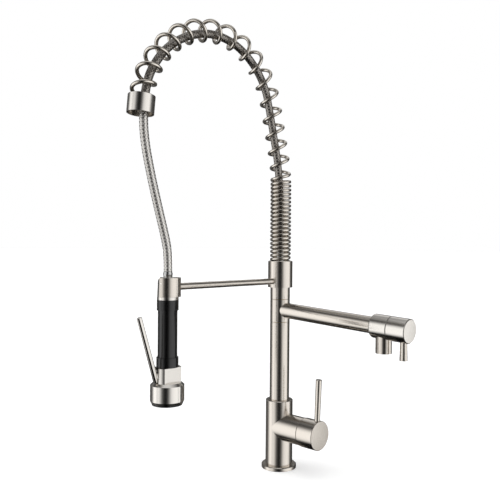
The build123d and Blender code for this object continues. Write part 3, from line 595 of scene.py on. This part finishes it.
@dataclass
class Arch:
    """The coil's centreline, in millimetres: upright, then arcs and straights to the drop."""

    lean_z: float = 410.0
    lean_deg: float = 14.6
    lean_r: float = 207.0
    rise_l: float = 69.7
    crown_r: float = 105.8
    shoulder_deg: float = 62.3
    shoulder_r: float = 130.9
    fall_r: float = 103.7
    drop_deg: float = 174.5
    drop_l: float = 17.8

    def steps(self) -> list[Pair]:
        """Turn in degrees with its radius, or no turn with a length, in millimetres."""
        return [
            (self.lean_deg, self.lean_r),
            (0.0, self.rise_l),
            (90.0 - self.lean_deg, self.crown_r),
            (self.shoulder_deg, self.shoulder_r),
            (self.drop_deg - 90.0 - self.shoulder_deg, self.fall_r),
            (0.0, self.drop_l),
        ]

    def length(self) -> float:
        """Length above the height at which the line starts to lean, in millimetres."""
        return sum(math.radians(turn) * size if turn else size for turn, size in self.steps())

    def at(self, length: Array) -> tuple[Array, Array]:
        """Places and headings at lengths past the start of the lean.

        Each step adds its own share: a straight adds its length along the heading, and an arc of
        radius r from heading a to b adds r (cos a - cos b) to the reach and r (sin b - sin a) to
        the height.

        Args:
            length: Lengths in millimetres, negative on the upright.

        Returns:
            Places n by 3 in millimetres, and headings from upright in radians.
        """
        reach = np.zeros_like(length)
        height = self.lean_z + np.minimum(length, 0.0)
        heading = np.zeros_like(length)
        left = np.maximum(length, 0.0)
        for turn, size in self.steps():
            whole = math.radians(turn) * size if turn else size
            step = np.clip(left, 0.0, whole)
            if turn:
                end = heading + step / size
                reach += size * (np.cos(heading) - np.cos(end))
                height += size * (np.sin(end) - np.sin(heading))
                heading = end
            else:
                reach += step * np.sin(heading)
                height += step * np.cos(heading)
            left = left - step
        return np.stack([np.zeros_like(reach), -reach, height], axis=1), heading


@dataclass
class ArchSpring:
    """The coil: close turns on the column, open turns over the arch, in millimetres."""

    arch: Arch
    wire_r: float = 2.46
    coil_r: float = 13.0
    start_z: float = 299.8
    tight_pitch: float = 5.85
    tight_top_z: float = 421.0
    open_pitch: float = 22.0
    swell: float = 6.4
    ramp: float = 12.0
    end_clear: float = 13.8
    # Places along the wire of the rings that round each end, and their shares of its radius.
    end_places: tuple[float, ...] = (0.0, 0.1, 0.35)
    end_shares: tuple[float, ...] = (0.5, 0.8, 0.95)
    count_step: float = 0.02
    steps_per_turn: int = 30
    sides: int = 12

    def pitch(self, length: Array) -> Array:
        """Advance of one turn: close up to the top of the close turns, then a short ramp.

        Args:
            length: Lengths above the top of the close turns.

        Returns:
            The pitch at each length.
        """
        share = np.clip(length / self.ramp, 0, 1)
        wave = np.sin(np.pi * np.clip(length / self.arch.length(), 0, 1)) ** 2
        rise = (self.open_pitch - self.tight_pitch) * share + self.swell * wave
        return self.tight_pitch + np.where(length > 0, rise, 0.0)

    def centre(self) -> tuple[Array, Array]:
        """The wire's centre and the direction from the coil's axis to it.

        The turn count is the integral of 1 / pitch along the centreline. At turn t the wire is at
        centre - X r cos(2 pi t) - outward r sin(2 pi t), which winds to the right.

        Returns:
            Points and unit directions, each n by 3.
        """
        start = self.start_z - self.arch.lean_z
        stop = self.arch.length() - self.end_clear
        length = np.arange(start, stop, self.count_step)
        rate = 1 / self.pitch(length - (self.tight_top_z - self.arch.lean_z))
        turn = np.concatenate([[0.0], np.cumsum((rate[1:] + rate[:-1]) * self.count_step / 2)])
        turns = math.floor(2 * turn[-1]) / 2
        wanted = np.linspace(0, turns, round(turns * self.steps_per_turn) + 1)
        place, heading = self.arch.at(np.interp(wanted, turn, length))
        outward = np.stack([np.zeros_like(heading), np.cos(heading), np.sin(heading)], axis=1)
        angle = 2 * np.pi * wanted[:, None]
        spoke = -X_AXIS * np.cos(angle) - outward * np.sin(angle)
        return place + spoke * self.coil_r, spoke

    def build(self) -> Object:
        """Round wire along the coil, with its two ends dressed off round.

        Ring points are centre + radius (N cos(angle) + B sin(angle)), where N is the spoke made
        square to the wire and B is square to both.

        Returns:
            The spring's object.
        """
        centre, spoke = self.centre()
        along = np.gradient(centre, axis=0)
        along /= np.linalg.norm(along, axis=1)[:, None]
        normal = spoke - along * np.sum(spoke * along, axis=1)[:, None]
        normal /= np.linalg.norm(normal, axis=1)[:, None]
        across = np.cross(along, normal)
        radius = np.full(len(centre), self.wire_r)
        ends = len(self.end_places)
        places, shares = np.array(self.end_places)[:, None], np.array(self.end_shares)
        centre[:ends] = centre[0] + along[0] * places
        centre[-ends:] = centre[-1] - along[-1] * places[::-1]
        radius[:ends] *= shares
        radius[-ends:] *= shares[::-1]
        for axis in (normal, across):
            axis[:ends] = axis[0].copy()
            axis[-ends:] = axis[-1].copy()
        angle = np.linspace(0, 2 * np.pi, self.sides, endpoint=False)[None, :, None]
        ring = normal[:, None] * np.cos(angle) + across[:, None] * np.sin(angle)
        points = centre[:, None] + ring * radius[:, None, None]
        spring = wound_grid(points * MM).object("spring_wire")
        spring.data.materials.append(SPRING_STEEL.material(Lay.NONE))
        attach(spring, "dock")
        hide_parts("spring")
        return spring


@dataclass
class BraidedHose:
    """Both runs of the hose, with the braid's bundles raised on them."""

    radius: float = 5.4 * MM
    relief: float = 0.18 * MM
    carriers: int = HOSE_BRAID.carriers
    lead: float = HOSE_BRAID.lead_mm * MM
    steps_per_hole: int = 6
    # Control points as reach and height, in millimetres.
    arch_route: tuple[Pair, ...] = (
        (0.0, 318.0), (0.0, 350.0), (0.4, 385.0), (6.0, 442.5), (15.5, 480.0), (25.5, 518.5),
        (36.0, 554.0), (62.0, 583.5), (97.8, 602.4), (139.3, 606.1), (180.0, 594.5),
        (214.5, 572.0), (236.5, 544.5), (247.5, 519.5), (249.5, 499.6),
    )
    drop_route: tuple[Pair, ...] = (
        (249.5, 499.6), (251.5, 479.7), (248.5, 449.0), (239.5, 412.0), (227.5, 371.0),
        (217.2, 338.0), (212.0, 316.0), (212.0, 293.7),
    )
    drop_length: float = 0.2109

    def line(self, name: str, route: tuple[Pair, ...]) -> Array:
        """Smooth line of a run along its route.

        Args:
            name: Name of the run.
            route: The run's control points.

        Returns:
            The line's points, a few to each of the braid's holes.
        """
        pairs = np.array(route) * MM
        control = np.stack([np.zeros(len(pairs)), -pairs[:, 0], pairs[:, 1]], axis=1)
        return spline_line(name, control, self.lead / self.carriers / self.steps_per_hole)

    def crest(self, angle: Array, length: Array) -> Array:
        """Radius of the braid: |sin p| |sin q| raises a pillow on every crossing.

        p and q are half turns of the two slanted families, carriers * angle / 2 pi plus and minus
        carriers * length / lead.

        Args:
            angle: Angle round the hose.
            length: Length along it.

        Returns:
            The radius at each point.
        """
        around = self.carriers * angle / 2
        along = np.pi * self.carriers * length / self.lead
        pillow = np.abs(np.sin(around + along) * np.sin(around - along))
        return self.radius - self.relief * (1 - pillow)

    def run(self, name: str, node: str, line: Array, finish: BraidedSteel) -> Object:
        """Tube with the braid along one line.

        Args:
            name: The piece's name.
            node: The solid that it stands for.
            line: The line's points.
            finish: The run's braid.

        Returns:
            The hose's object.
        """
        sides = self.steps_per_hole * self.carriers
        hose = planar_tube(line, sides, self.crest).object(name)
        length = float(lengths_along(line)[-1])
        hose.data.materials.append(finish.material(length / MM))
        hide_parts(node)
        return hose

    def build(self) -> list[Object]:
        """Builds the free drop first, then the run inside the coil.

        Returns:
            Both hoses.
        """
        drop_line = self.line("drop", self.drop_route)
        drop = self.run("hose_drop_braided", "hose_drop", drop_line, HOSE_BRAID)
        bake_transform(drop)
        arch_line = self.line("arch", self.arch_route)
        # The run inside the coil takes the braid with painted shade from the coil's turns.
        arch = self.run("hose_arch_braided", "hose_arch", arch_line, ARCH_BRAID_PAINTED_SHADE)
        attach(arch, "dock")
        return [drop, arch]


@dataclass
class SprayFace:
    """Soft nozzles standing on the dished spray face, in millimetres."""

    reach: float = 212.0
    # Radius of each ring, how many nozzles stand on it, and its turn in shares of their spacing.
    rings: tuple[tuple, ...] = ((0.0, 1, 0.0), (4.2, 6, 0.0), (8.4, 12, 0.5), (12.6, 18, 0.0))
    # A nozzle's radius and height, out of its hole, over the softened tip and up to its foot.
    profile: tuple[Pair, ...] = (
        (0.24, 129.5), (0.4, 128.7), (0.48, 128.6), (0.67, 128.6), (0.75, 128.68),
        (1.035, 129.55), (1.15, 129.85),
    )
    sides: int = 10

    def build(self) -> Object:
        """Every nozzle is the same small turned cone with a hole, set on rings.

        Returns:
            The nozzles as one object.
        """
        profile = np.array(self.profile)
        whole = None
        for radius, count, shift in self.rings:
            for index in range(count):
                angle = 2 * math.pi * (index + shift) / count
                centre = (radius * math.cos(angle), -self.reach + radius * math.sin(angle))
                cone = turned(profile, self.sides, centre)
                whole = cone if whole is None else whole.join(cone)
        whole.points = whole.points * MM
        nozzles = whole.object("spray_nozzles")
        nozzles.data.materials.append(BLACK_RUBBER.material())
        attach(nozzles, "sprayer")
        return nozzles


@dataclass
class SqueezeLever:
    """Slanted lever with broad bevels, and the eye that it turns on, in millimetres."""

    pivot: Place = (0.0, -226.5, 166.0)
    slant_deg: float = 17.85
    inner_face: float = 1.76
    depth: float = 6.4
    low: float = -6.0
    high: float = 79.0
    low_half: float = 3.0
    high_half: float = 2.6
    bevel: float = 1.6
    edge: float = 0.35
    eye_r: float = 4.2
    hole_r: float = 1.75
    eye_half: float = 3.5
    eye_soft: float = 0.3
    eye_sides: int = 48
    edge_points: int = 5

    def bar(self) -> Surface:
        """Bar along the lever, an oblong with bevelled corners whose edges are rounded.

        Corner k of the eight lies r inside its two faces, and its points are
        corner + r (cos(angle), sin(angle)) from k to k + 1 eighths of a turn. The half width
        narrows towards the top. Both ends draw in by r (1 - sin) of a quarter turn.

        Returns:
            The bar in the lever's own axes.
        """
        quarter = np.linspace(0, np.pi / 2, self.edge_points)
        rise = self.edge * (1 - np.cos(quarter))
        height = np.concatenate([self.low + rise, self.high - rise[::-1]])
        inset = self.edge * (1 - np.sin(quarter))
        inset = np.concatenate([inset, inset[::-1]])
        share = (height - self.low) / (self.high - self.low)
        half = self.low_half + (self.high_half - self.low_half) * share - inset
        deep = self.depth / 2 - inset
        angle = (np.arange(8)[:, None] + np.linspace(0, 1, self.edge_points)) * np.pi / 4
        leg = self.bevel + self.edge * (math.sqrt(2) - 1)
        long_side = np.array([1, 0, 0, 1, 1, 0, 0, 1])
        sign_x = np.array([1, 1, -1, -1, -1, -1, 1, 1])
        sign_y = np.array([1, 1, 1, 1, -1, -1, -1, -1])
        corner_x = sign_x * (half[:, None] - np.where(long_side, self.edge, leg))
        corner_y = sign_y * (deep[:, None] - np.where(long_side, leg, self.edge))
        x = corner_x[..., None] + self.edge * np.cos(angle)
        y = corner_y[..., None] + self.edge * np.sin(angle) - self.inner_face - self.depth / 2
        z = np.broadcast_to(height[:, None, None], x.shape)
        return wound_grid(np.stack([x, y, z], axis=3).reshape(len(height), -1, 3))

    def eye(self) -> Surface:
        """Ring on the pin: a small rounded section (r, x) carried round the pin's axis.

        One half of the section is given, and the other mirrors it.

        Returns:
            The eye in the lever's own axes.
        """
        hole, rim = self.hole_r, self.eye_r
        face, soft = self.eye_half, self.eye_soft
        half = [(hole, face - soft), (hole + soft, face), (rim - soft, face), (rim, face - soft)]
        section = np.array([(hole, soft - face), *half, *((r, -x) for r, x in half[:0:-1])])
        turn = np.linspace(0, 2 * np.pi, self.eye_sides, endpoint=False)[:, None]
        radius, x = section[None, :, 0], section[None, :, 1]
        y, z = radius * np.cos(turn), radius * np.sin(turn)
        return wound_grid(np.stack([np.broadcast_to(x, y.shape), y, z], axis=2), looped=True)

    def build(self) -> Object:
        """Turns the lever from its own axes to its slant and puts it on its pivot.

        Returns:
            The lever's object.
        """
        whole = self.bar().join(self.eye())
        lean = math.radians(self.slant_deg)
        axes = np.array(
            [[1, 0, 0], [0, math.cos(lean), math.sin(lean)], [0, -math.sin(lean), math.cos(lean)]]
        )
        whole.points = (whole.points @ axes + np.array(self.pivot)) * MM
        lever = whole.object("squeeze_lever")
        lever.data.materials.append(LEVER_NICKEL.material(Lay.UPRIGHT))
        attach(lever, "squeeze_lever")
        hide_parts("spray_lever")
        return lever


@dataclass
class AeratorMesh:
    """Woven steel mesh across the aerator's mouth, in millimetres."""

    centre_x: float = 177.3
    top_z: float = 190.35
    radius: float = 6.4
    pole_r: float = 0.05
    thickness: float = 0.1
    pitch: float = 1.0
    relief: float = 0.3
    rings: int = 44
    sides: int = 132

    def build(self) -> Object:
        """Thin disc whose underside is a woven net.

        The height at (x, y) is top - thickness - relief w ** 3, where w is the larger of
        |cos(pi x / pitch)| and |cos(pi y / pitch)|, so wires cross every pitch with hollows between.

        Returns:
            The mesh's object.
        """
        radius = np.linspace(self.radius, self.pole_r, self.rings)
        angle = np.linspace(0, 2 * np.pi, self.sides, endpoint=False)
        x = radius[:, None] * np.cos(angle)
        y = radius[:, None] * np.sin(angle)
        over, under = (np.abs(np.cos(np.pi * across / self.pitch)) for across in (x, y))
        weave = self.thickness + self.relief * np.maximum(over, under) ** 3
        low = np.stack([x + self.centre_x, y, self.top_z - weave], axis=2)
        top = np.stack([x + self.centre_x, y, np.full_like(x, self.top_z)], axis=2)[::-1]
        mesh = wound_grid(np.concatenate([top, low]) * MM).object("aerator_mesh")
        mesh.data.materials.append(STAINLESS.material(Lay.NONE))
        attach(mesh, "spout")
        return mesh


# The solids that stay, by their finish and, on metal, the axis that they were polished round.
NODE_FINISHES: dict[tuple, tuple[str, ...]] = {
    (SATIN_NICKEL, Lay.UPRIGHT): (
        "deck_flange", "valve_body", "column_lower", "column_upper", "handle_pin", "dock_collar",
        "dock_ring", "spout_hub", "aerator_housing", "valve_pin",
    ),
    (SATIN_NICKEL, Lay.HANDLE): ("handle_cap", "spout_tube"),
    (SATIN_NICKEL, Lay.ARM): ("dock_arm",),
    (SATIN_NICKEL, Lay.NONE): ("index_plug",),
    (SATIN_BRIGHT, Lay.UPRIGHT): ("spring_end_cap", "sprayer_neck", "sprayer_body", "bell"),
    (SATIN_BRIGHT, Lay.HANDLE): ("trim_dome", "spout_head", "spout_end_cap"),
    (STAINLESS, Lay.UPRIGHT): (
        "set_screw", "spring_seat_ring", "hose_ferrule_lower", "hose_ferrule", "swivel_stem",
    ),
    (STAINLESS, Lay.ARM): ("stem_pin", "valve_plunger"),
    (STAINLESS, Lay.HANDLE): ("lever_pin",),
    (STAINLESS, Lay.NONE): ("collar_circlip",),
    (BRASS, Lay.UPRIGHT): ("swivel_core", "riser", "hose_nut_lower"),
    (BRASS, Lay.HANDLE): ("cartridge_nut", "handle_stem", "valve_nut", "valve_spindle"),
    (SEAL_RUBBER,): ("base_gasket", "cartridge_seal", "hub_seals"),
    (BLACK_RUBBER,): ("grip_band_top", "grip_sleeve", "grip_band_bottom"),
    (BLACK_PLASTIC,): ("spray_face",),
    (CERAMIC,): ("ceramic_disc_fixed", "moving_disc", "valve_seat_disc"),
    (WHITE_PLASTIC,): (
        "cartridge_shell", "turret", "hub_bush_lower", "hub_bush_upper", "collar_bushes",
        "grip_core", "flow_plate", "aerator_insert",
    ),
}


@dataclass
class Solids:
    """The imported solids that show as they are."""

    finishes: dict[tuple, tuple[str, ...]]

    def dress(self) -> int:
        """Gives every solid its finish. The solids of one row share a material.

        Returns:
            How many solids were dressed.
        """
        for (finish, *lay), names in self.finishes.items():
            material = finish.material(*lay)
            for name in names:
                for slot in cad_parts[name].material_slots:
                    slot.material = material
        return sum(len(names) for names in self.finishes.values())


# Studio


@dataclass
class PhotographCamera:
    """Camera at the photograph's viewing point."""

    place: Place = (0.624, -0.718, 0.328)
    heading: Pair = (-0.691, 0.723)
    pitch_deg: float = -0.49
    roll_deg: float = 0.43
    focal_px: float = 643.0
    frame_px: float = 500.0
    sensor_mm: float = 36.0
    clip: Pair = (0.05, 50.0)

    def build(self) -> Object:
        """Sets up the camera from its place, heading, pitch and roll.

        Returns:
            The camera's object.
        """
        pitch, roll = math.radians(self.pitch_deg), math.radians(self.roll_deg)
        flat = Vector((*self.heading, 0)).normalized()
        forward = flat * math.cos(pitch) + Vector((0, 0, math.sin(pitch)))
        right = forward.cross(Vector((0, 0, 1))).normalized()
        up = right.cross(forward)
        right, up = (
            right * math.cos(roll) + up * math.sin(roll),
            up * math.cos(roll) - right * math.sin(roll),
        )
        data = bpy.data.cameras.new("camera")
        data.sensor_width = self.sensor_mm
        data.lens = self.focal_px / self.frame_px * self.sensor_mm
        data.clip_start, data.clip_end = self.clip
        camera = placed("camera", data)
        axes = Matrix((right, up, -forward)).transposed()
        camera.matrix_world = Matrix.Translation(self.place) @ axes.to_4x4()
        bpy.context.scene.camera = camera
        return camera


@dataclass
class Studio:
    """White room with soft walls at both sides, dark before, behind, above and below."""

    level: float = 1.45
    white: str = "ffffff"
    metal_white: float = 0.874
    # The camera's side, from the object. The walls are placed round it.
    front: Place = (0.656, -0.755, 0.0)
    # Brightness round the horizon by the angle to the right of the camera, seen from the object.
    # Each is the sRGB level that the satin metal shows there, where a wall of 1 shows metal_white.
    horizon: tuple[tuple[int, int], ...] = (
        (-180, 62), (-143, 84), (-120, 72), (-109, 95), (-101, 150), (-93, 220), (-80, 238),
        (-69, 230), (-61, 200), (-52, 216), (-44, 204), (-37, 180), (-30, 130), (-22, 80),
        (-13, 46), (-5, 24), (5, 24), (13, 58), (22, 110), (30, 166), (38, 200), (48, 214),
        (60, 222), (80, 226), (90, 210), (98, 165), (106, 108), (114, 80), (124, 62), (140, 42),
        (180, 62),
    )
    # Share of that brightness by the height of the direction, from straight down to straight up.
    heights: tuple[Pair, ...] = (
        (-1.0, 0.03), (-0.76, 0.03), (-0.72, 0.12), (-0.64, 0.6), (-0.5, 0.92), (-0.3, 1.0),
        (0.22, 1.0), (0.36, 0.88), (0.5, 0.55), (0.62, 0.15), (0.72, 0.0), (1.0, 0.0),
    )
    # Ceiling, and the wall high up behind, by the same heights and by how far behind they lie.
    ceiling: tuple[Pair, ...] = (
        (0.0, 0.0), (0.4, 0.0), (0.6, 0.04), (0.76, 0.05), (0.9, 0.35), (1.0, 0.6),
    )
    high_wall: tuple[Pair, ...] = ((0.0, 0.0), (0.35, 0.0), (0.5, 1.0), (0.8, 1.0), (0.9, 0.0))
    behind: tuple[Pair, ...] = ((0.0, 0.0), (0.5, 0.0), (0.66, 0.3), (0.85, 0.6))
    # Near end of the right wall: its two ends, its heights and its brightness.
    card_ends: tuple[Pair, Pair] = ((0.52, 0.6), (0.69, 0.5))
    card_heights: Pair = (-0.2, 0.38)
    card_level: float = 1.3
    # The table's light of its own clears it to white round the shadow.
    table_half: float = 30.0
    table_cells: int = 12
    table_drop: float = 0.2 * MM
    table_colour: str = "e6e6e6"
    table_roughness: float = 0.8
    table_lift: float = 0.42
    # Name, direction, apparent width in degrees and strength of each light.
    suns: tuple[tuple, ...] = (
        ("sun_left", (0.45, 0.5, -1.0), 60.0, 1.1),
        ("sun_right", (-0.5, 0.1, -1.0), 70.0, 0.9),
    )

    def room(self, tree: Tree) -> Socket:
        """Brightness of the room by direction: walls by height, then ceiling and high wall.

        Args:
            tree: The world's node tree.

        Returns:
            The brightness as a colour socket.
        """
        direction = add(tree, "TexCoord").outputs["Generated"]
        camera = Vector(self.front).normalized()
        right = Vector((-camera.y, camera.x, 0.0))
        front, side = (
            add(tree, "VectorMath", {1: axis}, {0: direction}, operation="DOT_PRODUCT").outputs["Value"]
            for axis in (camera, right)
        )
        angle = add(tree, "Math", links={0: side, 1: front}, operation="ARCTAN2").outputs[0]
        share = {1: 1 / (2 * math.pi), 2: 0.5}
        turn = add(tree, "Math", share, {0: angle}, operation="MULTIPLY_ADD").outputs[0]
        upright = add(tree, "SeparateXYZ", links={0: direction}).outputs[2]
        whole = {"From Min": -1.0, "From Max": 1.0}
        rise = add(tree, "MapRange", whole, {"Value": upright}).outputs[0]
        away = add(tree, "Math", {1: -1.0}, {0: front}, operation="MULTIPLY").outputs[0]
        horizon = tuple(
            (degrees / 360 + 0.5, linear(f"{level:02x}" * 3)[0] / self.metal_white)
            for degrees, level in self.horizon
        )
        heights = tuple(((height + 1) / 2, level) for height, level in self.heights)
        patterns = (
            (turn, horizon), (rise, heights), (upright, self.ceiling), (upright, self.high_wall),
            (away, self.behind),
        )
        walls, tall, over, high, back = (
            add(tree, "ValToRGB", links={0: place}, stops=stops).outputs[0]
            for place, stops in patterns
        )
        mixing = {"data_type": "RGBA", "blend_type": "MULTIPLY"}
        room = add(tree, "Mix", {0: 1.0}, {6: walls, 7: tall}, **mixing).outputs[2]
        wall = add(tree, "Mix", {0: 1.0}, {6: high, 7: back}, **mixing).outputs[2]
        mixing["blend_type"] = "ADD"
        for more in (over, wall):
            room = add(tree, "Mix", {0: 1.0}, {6: room, 7: more}, **mixing).outputs[2]
        return room

    def world(self) -> None:
        """Builds the world: camera and transmission rays see plain white, and others the room."""
        world = bpy.data.worlds.new("studio")
        bpy.context.scene.world = world
        world.use_nodes = True
        tree = world.node_tree
        tree.nodes.clear()
        light = {"Strength": self.level}
        room = add(tree, "Background", light, {"Color": self.room(tree)}).outputs[0]
        light = {"Color": linear(self.white), "Strength": 1.0}
        plain = add(tree, "Background", light).outputs[0]
        sides = {0: plain_view(tree), 1: room, 2: plain}
        mixed = add(tree, "MixShader", links=sides).outputs[0]
        add(tree, "OutputWorld", links={"Surface": mixed})

    def table(self) -> Object:
        """Pale table under the faucet. It keeps the object's shadow and clears to white round it.

        Returns:
            The table's object.
        """
        cells = self.table_cells
        side = np.linspace(-self.table_half, self.table_half, cells + 1)
        x, y = np.meshgrid(side, side, indexing="ij")
        points = np.stack([x, y, np.full_like(x, -self.table_drop)], axis=2).reshape(-1, 3)
        number = np.arange(len(points)).reshape(cells + 1, -1)
        corners = [number[:-1, :-1], number[1:, :-1], number[1:, 1:], number[:-1, 1:]]
        quads = np.stack(corners, axis=2).reshape(-1, 4)
        sheet = Surface(points, quads, np.zeros((len(quads), 4, 2)), np.zeros((0, 3), int))
        table = sheet.object("table")
        material, tree, shader = new_material("pale_table")
        lift = {1: self.table_lift}
        glow = add(tree, "Math", lift, {0: plain_view(tree)}, operation="MULTIPLY").outputs[0]
        matt = {
            "Base Color": linear(self.table_colour),
            "Roughness": self.table_roughness,
            "Specular IOR Level": 0.0,
            "Emission Color": linear(self.white),
        }
        fill(tree, shader, matt, {"Emission Strength": glow})
        table.data.materials.append(material)
        table.visible_glossy = False
        return table

    def card(self) -> Object:
        """Near end of the right wall. Only polished faces see it, the spout's end most of all.

        Returns:
            The card's object.
        """
        near, far = self.card_ends
        low, high = self.card_heights
        points = np.array([(*near, low), (*far, low), (*far, high), (*near, high)])
        quad = np.array([[0, 1, 2, 3]])
        sheet = Surface(points, quad, np.zeros((1, 4, 2)), np.zeros((0, 3), int))
        card = sheet.object("wall_card")
        material, tree, shader = new_material("wall_card")
        light = {
            "Base Color": linear("000000"),
            "Emission Color": linear(self.white),
            "Emission Strength": self.card_level,
        }
        fill(tree, shader, light, {})
        card.data.materials.append(material)
        for ray in ("camera", "diffuse", "shadow", "transmission"):
            setattr(card, f"visible_{ray}", False)
        return card

    def sun(self, name: str, aim: tuple, spread_deg: float, strength: float) -> Object:
        """Soft even light over the whole table.

        Args:
            name: The light's name.
            aim: The direction that it shines in.
            spread_deg: Its apparent width, which softens the shadow.
            strength: Its strength.

        Returns:
            The light's object.
        """
        data = bpy.data.lights.new(name, "SUN")
        data.angle = math.radians(spread_deg)
        data.energy = strength
        sun = placed(name, data)
        sun.rotation_mode = "QUATERNION"
        sun.rotation_quaternion = Vector(aim).to_track_quat("-Z", "Y")
        sun.visible_glossy = False
        return sun

    def build(self) -> None:
        """Builds the room, the table and the lights."""
        self.world()
        self.table()
        self.card()
        for sun in self.suns:
            self.sun(*sun)


def main() -> None:
    """Builds the camera, the hoses, the other pieces and the studio."""
    logging.basicConfig(level=logging.INFO, format="%(message)s")
    bpy.context.scene.view_settings.view_transform = "Standard"
    PhotographCamera().build()
    pieces = BraidedHose().build()
    for part in (ArchSpring(Arch()), SprayFace(), SqueezeLever(), AeratorMesh()):
        pieces.append(part.build())
    for piece in pieces:
        log.info("%s: %d faces", piece.name, len(piece.data.polygons))
    log.info("solids dressed: %d", Solids(NODE_FINISHES).dress())
    Studio().build()


if __name__ == "__main__":
    main()
